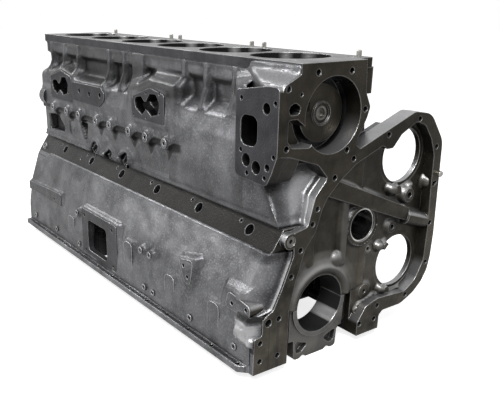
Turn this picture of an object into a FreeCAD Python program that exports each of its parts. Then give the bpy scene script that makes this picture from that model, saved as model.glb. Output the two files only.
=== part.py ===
import FreeCAD, Part
import math
import os
from FreeCAD import Vector

# Bare cylinder block of a heavy in-line six, with its main caps, bolts, bushings, dowels and plugs.
# X runs along the crankshaft with the front end at +X, Y across to the camshaft side, Z up to the deck.
# All sizes are millimetres. Heights are given from the pan rail and stations from the front face.

# Driving dimensions of the whole block
CYLINDERS = 6
BORE_PITCH = 152.0
FRONT_MARGIN = 124.0
REAR_MARGIN = 101.0
DECK_HEIGHT = 507.0
BORE_RADIUS = 66.0
BORE_RIM_RADIUS = 70.0
CRANK_HEIGHT = 84.0
CRANK_BORE_RADIUS = 54.0
CAM_Y = 94.0
CAM_HEIGHT = 214.0
CAM_TUNNEL_RADIUS = 31.5
CAM_BUSHING_WALL = 3.0
FRONT_DEPTH = 40.0
NECK_DEPTH = 24.0
WEB_THICKNESS = 44.0

# Deck and upper walls
DECK_FLANGE = 17.0
DECK_LEFT_Y = -88.0
DECK_RIGHT_Y = 94.0
DECK_FRONT_RIGHT_Y = 54.0
DECK_RIGHT_SETBACK = 22.0
DECK_BULGE = (-36.0, 92.0)
DECK_BULGE_RADIUS = 12.0
DECK_PLATE = 30.0
JACKET_WALL = 11.0
JACKET_RIGHT_Y = 92.0
JACKET_STEP_DROP = 115.0
JACKET_REACH = 84.0
JACKET_FRONT_REACH = 60.0
CROWN_LEFT_Y = -64.0
CROWN_RIGHT_Y = 74.0
LOWER_DECK_TOP = 262.0
CRANKCASE_TOP = 222.0
CAM_CHAMBER_GAP = 9.0

# Camshaft-side wall, skirt and pan rail
RAIL_HEIGHT = 12.0
LEFT_RAIL_Y = -178.0
RIGHT_RAIL_Y = 170.0
LEFT_SKIRT_Y = -166.0
RIGHT_SKIRT_Y = 158.0
SKIRT_WALL = 11.0
RAIL_INNER_Y = 138.0
BAND_TOP = (-98.0, 243.0)
BAND_FOOT = (-122.0, 208.0)
LEFT_WALL_Y = -106.0
GALLERY_WALL_Y = 138.0
LEDGE_HEIGHT = 329.0
PANEL_DEPTH = 6.0
CAVITY_DEPTH = 22.0
BAND_HOLE_RADIUS = 10.0
BAND_PIN_RADIUS = 3.5
BAND_PIN_DEPTH = 10.0
BAND_SPARE_HOLE = (-16.0, -5.0)
REAR_BOSS = (-91.0, 349.0)
REAR_BOSS_RADIUS = 25.0
REAR_BOSS_LENGTH = 26.0
HEAD_BOLT_Y = 66.0
HEAD_BOLT_RADIUS = 6.0
HEAD_BOLT_DEPTH = 26.0
WINDOW_FACE_Y = -168.0
WINDOW_HOLE_OFFSETS = (-47.0, 91.0)
WINDOW_HOLE_Z = (31.0, 117.0)
BAND_SEAT_RISE = 24.0
BAND_SEAT_DEPTH = 16.0
BAND_END_HOLE = (-80.0, -12.0)
STEP_FACE_Y = -167.0
WINDOW_HOLE_RADIUS = 4.5
RAIL_HOLE_RADIUS = 4.0
RAIL_HOLE_INSET = 6.0
RAIL_HOLE_FIRST_X = -32.0
RAIL_HOLE_PITCH = 75.5
RAIL_HOLES = 13

# Patterns of the near side: cylinder number, distance ahead of its centre, then height or size
POCKET_RIBS = [
    (6, -62, 8), (6, 12, 8), (5, -60, 9), (5, 105, 9), (4, 22, 7),
    (4, 86, 42), (2, -46, 9), (2, 26, 9), (1, -39, 10),
]
LEDGE_BOSSES = [(6, -12), (6, 72), (5, -11), (5, 82), (4, -2), (4, 86), (3, 5), (3, 79)]
BAND_SEATS = [(5, 46, 15, 8), (5, 123, 10, 4), (4, 48, 16, 9)]
SKIRT_BOSSES = [
    (5, 65, 112), (5, 69, 33), (6, 86, 33), (6, -54, 33), (3, 65, 112),
    (3, 100, 112), (3, 76, 34), (3, 111, 34), (2, 93, 34), (1, 76, 36),
]
SKIRT_HOLES = SKIRT_BOSSES + [
    (6, -73, 106), (6, 68, 108), (2, 68, 131), (2, 81, 112), (1, 65, 112), (1, 103, 114),
]
SIDE_HOLES = [
    (5, -7, 119, 6), (5, 46, 121, 6), (5, 101, 118, 6), (3, -46, 102, 3), (3, 59, 85, 3),
    (3, 8, 88, 3), (3, -45, 138, 3), (3, 58, 123, 3), (3, 7, 138, 3), (6, -28, 110, 3),
    (6, 77, 93, 3), (6, -27, 146, 3), (6, 76, 131, 3), (1, 49, 155, 11), (1, 75, 163, 11),
    (1, 102, 158, 6), (1, 34, 57, 4), (1, 116, 57, 4), (1, 35, 140, 4), (1, 116, 139, 4),
    (1, 52, 176, 4), (1, 96, 176, 4),
]

# Gear case at the front
CASE_DEPTH = 32.0
CASE_FLOOR = 22.0
ACCESSORY_RADIUS = 51.0
ACCESSORY_TOP = (191.0, 329.0)
ACCESSORY_LOW = (200.0, 121.0)
CASE_HOLE_RADIUS = 5.0
CASE_HOLE_DEPTH = 20.0

CASE_HOLES = [
    (40, 346), (-2, 319), (-37, 271), (-46, 246), (-70, 205), (-88, 162), (-111, 92), (-150, 57),
    (-150, 23), (-111, 23), (137, 49), (91, 23), (131, 23), (124, 377), (204, 397), (261, 340),
    (266, 268), (268, 190), (269, 108), (217, 51),
]
PUMP_FACE_HOLES = [(-53, 15), (20, 16), (-113, 36), (58, 80), (-112, 127), (22, 144)]
PUMP_BLEED = (-86.0, 46.0)
PUMP_BLEED_RADIUS = 3.0

# Water-pump volute in the front face
PUMP_Y = -14.0
PUMP_DROP = 84.0
PUMP_RADIUS = 62.0
PUMP_DISC_RADIUS = 48.0
PUMP_DEPTH = 46.0
PUMP_DISC_DEPTH = 29.0
PUMP_HUB_RADIUS = 20.0
PUMP_HUB_HEIGHT = 4.0
PUMP_HUB_RIM = 3.0
PUMP_SHAFT_RADIUS = 11.0

# Main bearing caps and their bolts
CAP_HALF_WIDTH = 85.0
CAP_LOBE = 52.0
CAP_PAD_HEIGHT = 22.0
CAP_DEPTH = 102.0
CAP_NOSE_HALF = 66.0
CAP_NOSE_LENGTH = 12.0
CAP_BOLT_INSET = 15.0
CAP_BOLT_RADIUS = 8.0
CAP_BOLT_HEAD = 12.0
CAP_BOLT_HEAD_HEIGHT = 12.0
CAP_BOLT_GRIP = 48.0
CAP_WASHER_RADIUS = 12.5
CAP_WASHER_HEIGHT = 4.0
HOLE_CLEARANCE = 0.5

# Pins and plugs
DECK_DOWEL_RADIUS = 4.5
DECK_DOWEL_HEIGHT = 11.0
DECK_DOWEL_SEAT = 16.0
DECK_DOWELS = [
    (-43.0, 80.0), (-287.0, 78.0), (-325.0, 78.0), (-590.0, 80.0), (-628.0, 80.0), (-905.0, 80.0),
]
FRONT_DOWEL_RADIUS = 6.0
FRONT_DOWEL_SEAT = 14.0
FRONT_DOWEL = (275.0, 287.0)
REAR_DOWELS = [(-130.0, 92.0), (126.0, 92.0)]
REAR_HOLES = [
    (-148.0, 26.0), (-146.0, 60.0), (-120.0, 132.0), (-96.0, 196.0), (-92.0, 292.0), (-78.0, 400.0),
    (-70.0, 480.0), (70.0, 480.0), (86.0, 400.0), (122.0, 300.0), (126.0, 152.0), (140.0, 60.0),
    (140.0, 26.0),
]
DOWEL_REACH = 8.0
DOWEL_CHAMFER = 1.5
GALLERY_PLUG = (-92.0, 225.0)
GALLERY_PLUG_RADIUS = 9.0
GALLERY_PLUG_LENGTH = 14.0
GALLERY_BOSS_RADIUS = 14.0
CAM_PLUG = (119.0, 162.0)
CAM_PLUG_RADIUS = 7.0
CAM_PLUG_LENGTH = 8.0
CAM_PLUG_BOSS = 3.0
CAM_RING_HEIGHT = 7.0
BUSHING_INSET = 2.0
SOCKET_RADIUS = 4.0
SOCKET_DEPTH = 6.0
CORE_PLUG_DROP = 149.0
CORE_PLUG_MOUTH_Y = 106.0
PUMP_CUP_DEPTH = 9.0
CORE_PLUG_RADIUS = 26.0
CORE_PLUG_WALL = 2.5
CORE_PLUG_DEPTH = 12.0

BLOCK_LENGTH = FRONT_MARGIN + (CYLINDERS - 1) * BORE_PITCH + REAR_MARGIN
REAR_X = -BLOCK_LENGTH
BORE_X = [-FRONT_MARGIN - i * BORE_PITCH for i in range(CYLINDERS)]
MAIN_X = [BORE_X[0] + BORE_PITCH / 2 - i * BORE_PITCH for i in range(CYLINDERS + 1)]
CAP_SEAT = CRANK_HEIGHT
CAP_BOLT_Y = CAP_HALF_WIDTH - CAP_BOLT_INSET
CAP_BOTTOM = CRANK_HEIGHT - CAP_DEPTH
PUMP_CENTRE = (PUMP_Y, DECK_HEIGHT - PUMP_DROP)
BAND_NORMAL = Vector(0, BAND_FOOT[1] - BAND_TOP[1], BAND_TOP[0] - BAND_FOOT[0]).normalize()
CORE_PLUG_HEIGHT = DECK_HEIGHT - CORE_PLUG_DROP
WIDEST_RIGHT_Y = 284.0
FRAME_SHIFT = Vector(BLOCK_LENGTH / 2, -(LEFT_RAIL_Y + WIDEST_RIGHT_Y) / 2, -CAP_BOTTOM)


def by_bore(cylinder, offset):
    """Station along the block: offset ahead of the centre of a cylinder, counted from 1 at the front."""
    return -FRONT_MARGIN - (cylinder - 1) * BORE_PITCH + offset


def under_deck(depth):
    return DECK_HEIGHT - depth


def outline(corners, place):
    """Closed wire through corners (a, b) or (a, b, radius), each rounded by its radius.

    place turns the two numbers of a point into a vector.
    """
    points = [Vector(c[0], c[1], 0) for c in corners]
    radii = [c[2] if len(c) > 2 else 0.0 for c in corners]
    edges = []
    starts = []
    count = len(points)
    for i in range(count):
        here = points[i]
        back = points[i - 1] - here
        ahead = points[(i + 1) % count] - here
        reach = 0.0
        if radii[i] > 0:
            half = back.getAngle(ahead) / 2
            reach = radii[i] / math.tan(half)
            reach = min(reach, 0.48 * back.Length, 0.48 * ahead.Length)
        back.normalize()
        ahead.normalize()
        starts.append((here + back * reach, here, here + ahead * reach, reach, back, ahead))
    for i in range(count):
        enter, corner, leave, reach, back, ahead = starts[i]
        following = starts[(i + 1) % count][0]
        if reach > 0:
            half = back.getAngle(ahead) / 2
            radius = reach * math.tan(half)
            middle = (back + ahead).normalize()
            bulge = corner + middle * (radius / math.sin(half) - radius)
            arc = Part.Arc(place(enter), place(bulge), place(leave))
            edges.append(arc.toShape())
        if (following - leave).Length > 1e-6:
            edges.append(Part.LineSegment(place(leave), place(following)).toShape())
    return Part.Wire(edges)


def across(corners, rear, front):
    """Solid with a section across the block (Y, Z), from station rear to station front."""
    wire = outline(corners, lambda p: Vector(rear, p.x, p.y))
    return Part.Face(wire).extrude(Vector(front - rear, 0, 0))


def planform(corners, low, high):
    """Solid with an outline seen from above (X, Y), from height low to height high."""
    wire = outline(corners, lambda p: Vector(p.x, p.y, low))
    return Part.Face(wire).extrude(Vector(0, 0, high - low))


def sideways(corners, near, far):
    """Solid with an outline seen from the side (X, Z), from Y = near to Y = far."""
    wire = outline(corners, lambda p: Vector(p.x, near, p.y))
    return Part.Face(wire).extrude(Vector(0, far - near, 0))


def block(x0, x1, y0, y1, z0, z1):
    return Part.makeBox(x1 - x0, y1 - y0, z1 - z0, Vector(x0, y0, z0))


def rod_x(radius, y, z, rear, front):
    return Part.makeCylinder(radius, front - rear, Vector(rear, y, z), Vector(1, 0, 0))


def rod_y(radius, x, z, near, far):
    return Part.makeCylinder(radius, far - near, Vector(x, near, z), Vector(0, 1, 0))


def rod_z(radius, x, y, low, high):
    return Part.makeCylinder(radius, high - low, Vector(x, y, low), Vector(0, 0, 1))


def flared_boss(top, foot, length, base, direction):
    """Round cast boss: a flat top and sides that flare into the wall in a concave curve."""
    waist = Vector(top + (foot - top) * 0.25, 0, length * 0.45)
    profile = [
        Part.LineSegment(Vector(0, 0, 0), Vector(foot, 0, 0)).toShape(),
        Part.Arc(Vector(foot, 0, 0), waist, Vector(top, 0, length)).toShape(),
        Part.LineSegment(Vector(top, 0, length), Vector(0, 0, length)).toShape(),
        Part.LineSegment(Vector(0, 0, length), Vector(0, 0, 0)).toShape(),
    ]
    solid = Part.Face(Part.Wire(profile)).revolve(Vector(0, 0, 0), Vector(0, 0, 1), 360)
    turn = FreeCAD.Rotation(Vector(0, 0, 1), direction)
    solid.Placement = FreeCAD.Placement(base, turn)
    return solid


def rounded_box(x0, x1, z0, z1, radius):
    """Corners of a rectangle with one radius, for the outlines above."""
    return [(x0, z0, radius), (x1, z0, radius), (x1, z1, radius), (x0, z1, radius)]


def upper_body():
    """Water-jacket walls from the inclined band up to the deck, with a scooped corner at the front."""
    section = [
        (DECK_LEFT_Y, DECK_HEIGHT),
        (DECK_LEFT_Y, under_deck(DECK_FLANGE), 3),
        (-83, under_deck(21), 2),
        (-83, under_deck(43), 2),
        (-72, under_deck(51), 2),
        (-72, under_deck(83), 10),
        (-98, under_deck(104), 8),
        (LEFT_WALL_Y, under_deck(135), 12),
        (LEFT_WALL_Y, BAND_TOP[1] + 19, 6),
        BAND_TOP,
        (BAND_TOP[0], 200),
        (GALLERY_WALL_Y, 200),
        (GALLERY_WALL_Y, under_deck(215), 16),
        (110, under_deck(185), 16),
        (104, under_deck(107), 16),
        (86, under_deck(67), 12),
        (86, under_deck(21), 3),
        (DECK_RIGHT_Y, under_deck(DECK_FLANGE), 3),
        (DECK_RIGHT_Y, DECK_HEIGHT),
    ]
    body = across(section, REAR_X, -NECK_DEPTH)
    left = LEFT_WALL_Y - 5
    right = GALLERY_WALL_Y + 5
    plan = [
        (REAR_X, left),
        (-NECK_DEPTH, left, 12),
        (-NECK_DEPTH, 40),
        (-FRONT_DEPTH, 60),
        (-FRONT_DEPTH, right, 30),
        (REAR_X, right),
    ]
    body = body.common(planform(plan, 190, DECK_HEIGHT + 5))
    low = corner_wedge(-26, -50, BAND_TOP[1] + 19)
    high = corner_wedge(-92, 8, BAND_TOP[1] + 102)
    return body.cut(Part.makeLoft([low, high], True, True))


def corner_wedge(x, y, z):
    """Triangle that takes the front left corner off the body, from x on the wall to y on the front."""
    outside = LEFT_WALL_Y - 7
    ahead = 1 - NECK_DEPTH
    return outline([(x, outside), (ahead, outside), (ahead, y)], lambda p: Vector(p.x, p.y, z))


def front_gusset():
    """Web that leads the pocket wall out to the left edge of the pump housing, under the deck."""
    plan = [(-104, -80), (-104, -84), (-FRONT_DEPTH - 4, -124, 12), (-CASE_DEPTH, -124), (-CASE_DEPTH, -80)]
    web = planform(plan, under_deck(55), under_deck(DECK_FLANGE) + 1)
    return web.common(across(PUMP_OUTLINE, -105, 0))


def deck_bulge():
    """Rounded swelling of the far wall under the deck's front corner."""
    x, y = DECK_BULGE
    return rod_z(DECK_BULGE_RADIUS, x, y, under_deck(60), under_deck(DECK_FLANGE) + 1)


def deck_plate():
    """The deck carries on to the front face; its far corner is set back."""
    corners = [
        (REAR_X, DECK_LEFT_Y),
        (0, DECK_LEFT_Y),
        (0, DECK_FRONT_RIGHT_Y),
        (-DECK_RIGHT_SETBACK, DECK_FRONT_RIGHT_Y + 2, 2),
        (-DECK_RIGHT_SETBACK, DECK_RIGHT_Y, 6),
        (REAR_X, DECK_RIGHT_Y),
    ]
    return planform(corners, under_deck(DECK_FLANGE), DECK_HEIGHT)


def skirt_body():
    """Crankcase skirt and pan rail, wider than the upper walls, with a chamfered front end."""
    section = [
        BAND_TOP,
        (BAND_FOOT[0], BAND_FOOT[1], 3),
        (-131, 193, 12),
        (-153, 128, 40),
        (-165, 63, 40),
        (LEFT_SKIRT_Y, RAIL_HEIGHT, 4),
        (LEFT_RAIL_Y, RAIL_HEIGHT, 2),
        (LEFT_RAIL_Y, 0),
        (RIGHT_RAIL_Y, 0),
        (RIGHT_RAIL_Y, RAIL_HEIGHT, 2),
        (RIGHT_SKIRT_Y, RAIL_HEIGHT, 4),
        (RIGHT_SKIRT_Y - 2, 66, 40),
        (GALLERY_WALL_Y + 6, 150, 40),
        (GALLERY_WALL_Y, 200, 10),
        (GALLERY_WALL_Y, BAND_TOP[1]),
    ]
    body = across(section, REAR_X, -12)
    plan = [
        (REAR_X, LEFT_RAIL_Y),
        (-26, LEFT_RAIL_Y, 3),
        (-12, LEFT_SKIRT_Y + 2, 3),
        (-12, 142, 3),
        (-26, RIGHT_RAIL_Y, 3),
        (REAR_X, RIGHT_RAIL_Y),
    ]
    shoulder = [
        (REAR_X, LEFT_RAIL_Y),
        (-42, LEFT_RAIL_Y),
        (-12, -118, 10),
        (-12, 142),
        (REAR_X, RIGHT_RAIL_Y),
    ]
    lower = body.common(planform(plan, -1, 98))
    upper = body.common(planform(shoulder, 98, 250))
    return lower.fuse(upper)


PUMP_OUTLINE = [
    (DECK_LEFT_Y, DECK_HEIGHT),
    (DECK_LEFT_Y, under_deck(16), 4),
    (-121, under_deck(32), 10),
    (-131, under_deck(67), 16),
    (-131, under_deck(138), 4),
    (-104, under_deck(141), 8),
    (-42, under_deck(161), 20),
    (-20, under_deck(184)),
    (40, under_deck(164)),
    (46, under_deck(127), 10),
    (64, under_deck(95), 8),
    (70, under_deck(77), 8),
    (57, under_deck(52), 14),
    (DECK_FRONT_RIGHT_Y, DECK_HEIGHT),
]

CASE_OUTLINE = [
    (-36, 346),
    (-17, 321, 10),
    (-43, 293, 20),
    (-57, 243, 8),
    (-88, 238, 6),
    (-84, 199, 16),
    (-107, 144, 40),
    (-124, 110, 12),
    (-144, 100, 10),
    (-147, 69, 5),
    (-163, 67, 4),
    (LEFT_SKIRT_Y + 2, 0),
    (144, 0),
    (144, 27, 10),
    (154, 35, 8),
    (205, 35, 30),
    (240, 50, 40),
    (262, 68, 40),
    (276, 90, 40),
    (282, 118, 60),
    (WIDEST_RIGHT_Y, 165, 60),
    (279, 300, 80),
    (277, 350, 40),
    (236, 404, 40),
    (190, 411, 24),
    (54, 361, 5),
    (40, 372),
]

CASE_RECESS = [
    (-16, 286, 8),
    (12, 312, 6),
    (48, 336, 14),
    (112, 360, 10),
    (122, 352, 8),
    (138, 352, 8),
    (158, 374, 10),
    (196, 393, 16),
    (222, 384, 16),
    (244, 356, 20),
    (257, 325, 20),
    (259, 262, 10),
    (264, 180, 10),
    (262, 112, 30),
    (242, 76, 30),
    (214, 59, 12),
    (139, 64, 20),
    (106, 56, 16),
    (CAP_HALF_WIDTH, 26, 10),
    (CAP_HALF_WIDTH, -1),
    (-CAP_HALF_WIDTH - 4, -1),
    (-CAP_HALF_WIDTH - 4, 100, 20),
    (-78, 150, 20),
    (-60, 204, 10),
    (-38, 232, 10),
    (-26, 268, 10),
]


def front_plate(rear, front):
    """Slice of the front wall: the pump housing's outline joined to the gear case's."""
    return across(PUMP_OUTLINE, rear, front).fuse(across(CASE_OUTLINE, rear, front))


def front_case():
    """Front wall with the gear case, its root sunk in the body behind it."""
    root_depth = FRONT_DEPTH + 4
    root = front_plate(-root_depth, -CASE_DEPTH + 1)
    root = root.common(block(-root_depth - 1, 0, -200, GALLERY_WALL_Y, -20, DECK_HEIGHT + 5))
    return front_plate(-CASE_DEPTH, 0).fuse(root)


def case_details():
    """Diagonal rib, bearing rings, oil-gallery tube and bosses standing on the gear-case floor."""
    rib = across([(-18, 290), (4, 314), (206, 230, 6), (206, 204, 6)], -CASE_FLOOR - 1, -4)
    tube = Part.makeCylinder(15, 62, Vector(-14, 204, 211), Vector(0, 58, -18))
    cam_ring = rod_x(CAM_TUNNEL_RADIUS + 8, CAM_Y, CAM_HEIGHT, -CASE_FLOOR - 1, -CASE_FLOOR + 7)
    crank_ring = rod_x(CRANK_BORE_RADIUS + 9, 0, CRANK_HEIGHT, -CASE_FLOOR - 1, -CASE_FLOOR + 5)
    crank_ring = crank_ring.common(block(-50, 0, -90, 90, CAP_SEAT, 200))
    ridge = across(
        [(42, 150, 4), (50, 150, 4), (50, 262, 4), (42, 262, 4)], -CASE_FLOOR - 1, -CASE_FLOOR + 7
    )
    added = [rib, tube, cam_ring, crank_ring, ridge]
    bosses = [
        (208, 253, 13, 14.0),
        (175, 195, 11, 8.0),
        (179, 266, 9, 10.0),
        (270, 270, 11, 18.0),
        (163, 159, 7, 9.0),
        (175, 67, 7, 10.0),
        (117, 77, 14, 4.0),
        (45, 159, 9, 8.0),
        (119, 162, 10, 3.0),
    ]
    for y, z, radius, height in bosses:
        foot = Vector(-CASE_FLOOR - 1, y, z)
        added.append(flared_boss(radius, radius + 5, height + 1, foot, Vector(1, 0, 0)))
    inside = across(CASE_OUTLINE, -CASE_FLOOR - 1, 0)
    return [piece.common(inside) for piece in added]


def accessory_holes():
    """The two large holes through the gear case, each kept inside the rim."""
    within = across(CASE_RECESS, -CASE_DEPTH - 2, 2)
    cuts = []
    for y, z in (ACCESSORY_TOP, ACCESSORY_LOW):
        cuts.append(rod_x(ACCESSORY_RADIUS, y, z, -CASE_DEPTH - 1, 1).common(within))
    return cuts


def raised(corners, face_y, root_y=-80):
    """Flat-faced pad on the near side, from a root inside the wall out to its machined face."""
    return sideways(corners, face_y, root_y)


def left_pads():
    """Machined pads, port flanges, ribs and bosses of the near side."""
    front_pad = [
        (-104, under_deck(185), 12),
        (-24, under_deck(189), 12),
        (-12, under_deck(167), 10),
        (0, under_deck(138), 4),
        (0, under_deck(33), 8),
        (-26, under_deck(33), 10),
        (-104, under_deck(45), 8),
    ]
    rear_port_root = [
        (REAR_X, under_deck(155)),
        (by_bore(6, 98), under_deck(155), 10),
        (by_bore(6, 104), under_deck(99), 14),
        (by_bore(6, 38), under_deck(83), 16),
        (REAR_X, under_deck(103)),
    ]
    rear_port = [
        (by_bore(6, -30), under_deck(155), 8),
        (by_bore(6, 92), under_deck(155), 8),
        (by_bore(6, 98), under_deck(93), 10),
        (by_bore(6, 38), under_deck(81), 14),
        (by_bore(6, -30), under_deck(99), 8),
    ]
    sensor_plate = [
        (by_bore(5, -50), under_deck(146), 4),
        (by_bore(5, 92), under_deck(146), 10),
        (by_bore(5, 120), under_deck(129), 12),
        (by_bore(5, 122), under_deck(111), 10),
        (by_bore(5, 104), under_deck(100), 8),
        (by_bore(5, -50), under_deck(102), 4),
    ]
    middle_port = [
        (by_bore(3, -51), under_deck(145), 8),
        (by_bore(3, 72), under_deck(145), 8),
        (by_bore(3, 76), under_deck(85), 8),
        (by_bore(3, 23), under_deck(77), 14),
        (by_bore(3, -51), under_deck(101), 8),
    ]
    middle_port_root = [
        (by_bore(3, -72), under_deck(157), 16),
        (by_bore(3, 92), under_deck(157), 20),
        (by_bore(3, 98), under_deck(71), 24),
        (by_bore(3, 8), under_deck(67), 30),
        (by_bore(3, -72), under_deck(95), 20),
    ]
    parts = [
        raised(front_pad, -131),
        raised(rear_port_root, -104),
        raised(rear_port, -110),
        raised(sensor_plate, -112),
        raised(middle_port, -114),
        raised(middle_port_root, -107),
    ]
    rib_side = [
        (DECK_LEFT_Y + 1, under_deck(16)),
        (DECK_LEFT_Y + 1, under_deck(63), 10),
        (-100, under_deck(98), 6),
        (-60, under_deck(98)),
        (-60, under_deck(16)),
    ]
    for cylinder, offset, width in POCKET_RIBS:
        x = by_bore(cylinder, offset)
        parts.append(across(rib_side, x - width / 2, x + width / 2))
    for cylinder, offset in LEDGE_BOSSES:
        x = by_bore(cylinder, offset)
        parts.append(flared_boss(10, 14, 22, Vector(x, -96, LEDGE_HEIGHT), Vector(0, -1, 0)))
    end_offset, end_rise = BAND_END_HOLE
    end_foot = band_point(by_bore(6, end_offset), end_rise) - BAND_NORMAL * 4
    parts.append(flared_boss(8, 13, 7, end_foot, BAND_NORMAL))
    parts.append(rod_x(REAR_BOSS_RADIUS, *REAR_BOSS, REAR_X, REAR_X + REAR_BOSS_LENGTH))
    return parts


def skirt_details():
    """Raised pads, steps and bosses on the near skirt."""
    window_frame = [
        (by_bore(4, -62), 20, 8),
        (by_bore(4, 110), 20, 8),
        (by_bore(4, 110), 132, 8),
        (by_bore(4, -62), 132, 8),
    ]
    rear_bar = [(REAR_X, 98), (by_bore(6, 108), 98, 4), (by_bore(6, 112), 130, 4), (REAR_X, 120)]
    wedge = [
        (by_bore(2, 52), 140, 8),
        (by_bore(2, 100), 150, 8),
        (by_bore(2, 90), 98, 8),
        (by_bore(2, 72), 98, 8),
    ]
    mount = [(-78, 100, 8), (-12, 100, 10), (-10, 122, 10), (-70, 132, 10)]
    lug = [(-36, 53, 4), (0, 53), (0, 99), (-36, 94, 8)]
    parts = [
        raised(window_frame, WINDOW_FACE_Y, -140),
        raised(rear_bar, -163, -130),
        raised(wedge, -166, -130),
        raised(mount, -166, -130),
        raised(lug, -146, -120),
    ]
    for cylinder, offset, top in ((5, 24, 92), (3, 8, 112), (2, 20, 94), (1, 12, 94)):
        x = by_bore(cylinder, offset)
        step = [(x - 17, RAIL_HEIGHT), (x + 17, RAIL_HEIGHT), (x + 17, top, 12), (x - 17, top, 12)]
        parts.append(raised(step, STEP_FACE_Y, -140))
    for cylinder, offset, z in SKIRT_BOSSES:
        x = by_bore(cylinder, offset)
        parts.append(flared_boss(7, 12, 20, Vector(x, -150, z), Vector(0, -1, 0)))
    return parts


def interior():
    """Everything that is hollow: bores, water jacket, crankcase bays and bearing tunnels."""
    last = BORE_X[-1]
    first = BORE_X[0]
    jacket_left = LEFT_WALL_Y + JACKET_WALL
    step = under_deck(JACKET_STEP_DROP)
    lower_left = jacket_left + PANEL_DEPTH
    cavity_left = LEFT_WALL_Y + CAVITY_DEPTH + JACKET_WALL
    lower = [
        (last - JACKET_REACH, cavity_left, 30),
        (by_bore(5, 40), cavity_left, 20),
        (by_bore(5, 60), lower_left, 20),
        (first + JACKET_FRONT_REACH, lower_left, 40),
        (first + JACKET_FRONT_REACH, JACKET_RIGHT_Y, 40),
        (last - JACKET_REACH, JACKET_RIGHT_Y, 40),
    ]
    upper = rounded_box(last - JACKET_REACH, first + JACKET_FRONT_REACH, jacket_left, JACKET_RIGHT_Y, 40)
    crown = rounded_box(last - JACKET_REACH + 10, first + JACKET_FRONT_REACH, CROWN_LEFT_Y, CROWN_RIGHT_Y, 50)
    cuts = [
        planform(lower, LOWER_DECK_TOP, LEDGE_HEIGHT + 8),
        planform(upper, LEDGE_HEIGHT + 7, step),
        planform(crown, step - 1, under_deck(DECK_PLATE)),
    ]
    bay = BORE_PITCH - WEB_THICKNESS
    cam_roof = CAM_HEIGHT + CAM_TUNNEL_RADIUS + CAM_CHAMBER_GAP
    cam_side = CAM_Y + CAM_TUNNEL_RADIUS + 3
    cam_near = CAM_Y - CAM_TUNNEL_RADIUS - 3
    section = [
        (-RAIL_INNER_Y, -1),
        (-RAIL_INNER_Y, RAIL_HEIGHT, 4),
        (LEFT_SKIRT_Y + SKIRT_WALL, RAIL_HEIGHT + 4, 6),
        (LEFT_SKIRT_Y + SKIRT_WALL + 1, 60, 30),
        (-140, 128, 30),
        (-112, 200, 20),
        (-104, CRANKCASE_TOP, 14),
        (cam_near - 6, CRANKCASE_TOP, 10),
        (cam_near, cam_roof, 12),
        (cam_side, cam_roof, 12),
        (cam_side, CAM_HEIGHT - CAM_TUNNEL_RADIUS - 5, 20),
        (RIGHT_SKIRT_Y - SKIRT_WALL - 2, 60, 30),
        (RIGHT_SKIRT_Y - SKIRT_WALL, RAIL_HEIGHT + 4, 6),
        (RAIL_INNER_Y - 6, RAIL_HEIGHT, 4),
        (RAIL_INNER_Y - 6, -1),
    ]
    for x in BORE_X:
        cuts.append(rod_z(BORE_RIM_RADIUS, x, 0, under_deck(DECK_PLATE) - 1, DECK_HEIGHT + 1))
        cuts.append(rod_z(BORE_RADIUS, x, 0, CRANKCASE_TOP - 1, LOWER_DECK_TOP + 1))
        cuts.append(across(section, x - bay / 2, x + bay / 2))
    cuts.append(block(REAR_X - 1, 1, -CAP_HALF_WIDTH, CAP_HALF_WIDTH, -1, CAP_SEAT))
    cuts.append(rod_x(CRANK_BORE_RADIUS, 0, CRANK_HEIGHT, REAR_X - 1, 1))
    cuts.append(rod_x(CAM_TUNNEL_RADIUS, CAM_Y, CAM_HEIGHT, REAR_X - 1, 1))
    return cuts


def volute():
    """Pump chamber: a ring channel round a raised disc, with its inlet pocket and outlet port."""
    y, z = PUMP_CENTRE
    chamber = rod_x(PUMP_RADIUS, y, z, -PUMP_DEPTH, 1)
    disc = rod_x(PUMP_DISC_RADIUS, y, z, -PUMP_DEPTH - 1, -PUMP_DISC_DEPTH)
    hub = rod_x(PUMP_HUB_RADIUS, y, z, -PUMP_DISC_DEPTH - 1, -PUMP_DISC_DEPTH + PUMP_HUB_HEIGHT)
    dish = rod_x(PUMP_HUB_RADIUS - PUMP_HUB_RIM, y, z, -PUMP_DISC_DEPTH, 0)
    chamber = chamber.cut([disc, hub.cut(dish)])
    shaft = rod_x(PUMP_SHAFT_RADIUS, y, z, -PUMP_DISC_DEPTH - PUMP_CUP_DEPTH, 1)
    inlet = [
        (-110, z + 1, 4),
        (-92, z + 1, 6),
        (-72, z - 14, 6),
        (-52, z - 27, 4),
        (-62, z - 47, 8),
        (-101, z - 43, 8),
        (-110, z - 32, 6),
    ]
    outlet = [(-111, z + 21, 8), (-98, z + 27, 8), (-85, z + 19, 8), (-90, z + 8, 6), (-108, z + 8, 6)]
    return [chamber, shaft, across(inlet, -30, 1), across(outlet, -34, 1)]


def port_mouth(cylinder, shift, drop):
    """Four-lobed mouth of a port, its lobes parted by the bosses of two bolts."""
    corners = [
        (-42, 103, 10),
        (-12, 97, 6),
        (4, 109, 6),
        (20, 89, 8),
        (46, 87, 8),
        (60, 105, 8),
        (52, 127, 8),
        (26, 133, 6),
        (8, 121, 6),
        (-10, 135, 6),
        (-36, 123, 8),
    ]
    mouth = [(by_bore(cylinder, a + shift), under_deck(b + drop), radius) for a, b, radius in corners]
    return sideways(mouth, -130, CROWN_LEFT_Y + 2)


def cavity(corners):
    """Deep cast pocket in the near wall under the ledge."""
    return sideways(corners, -120, LEFT_WALL_Y + CAVITY_DEPTH)


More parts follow.
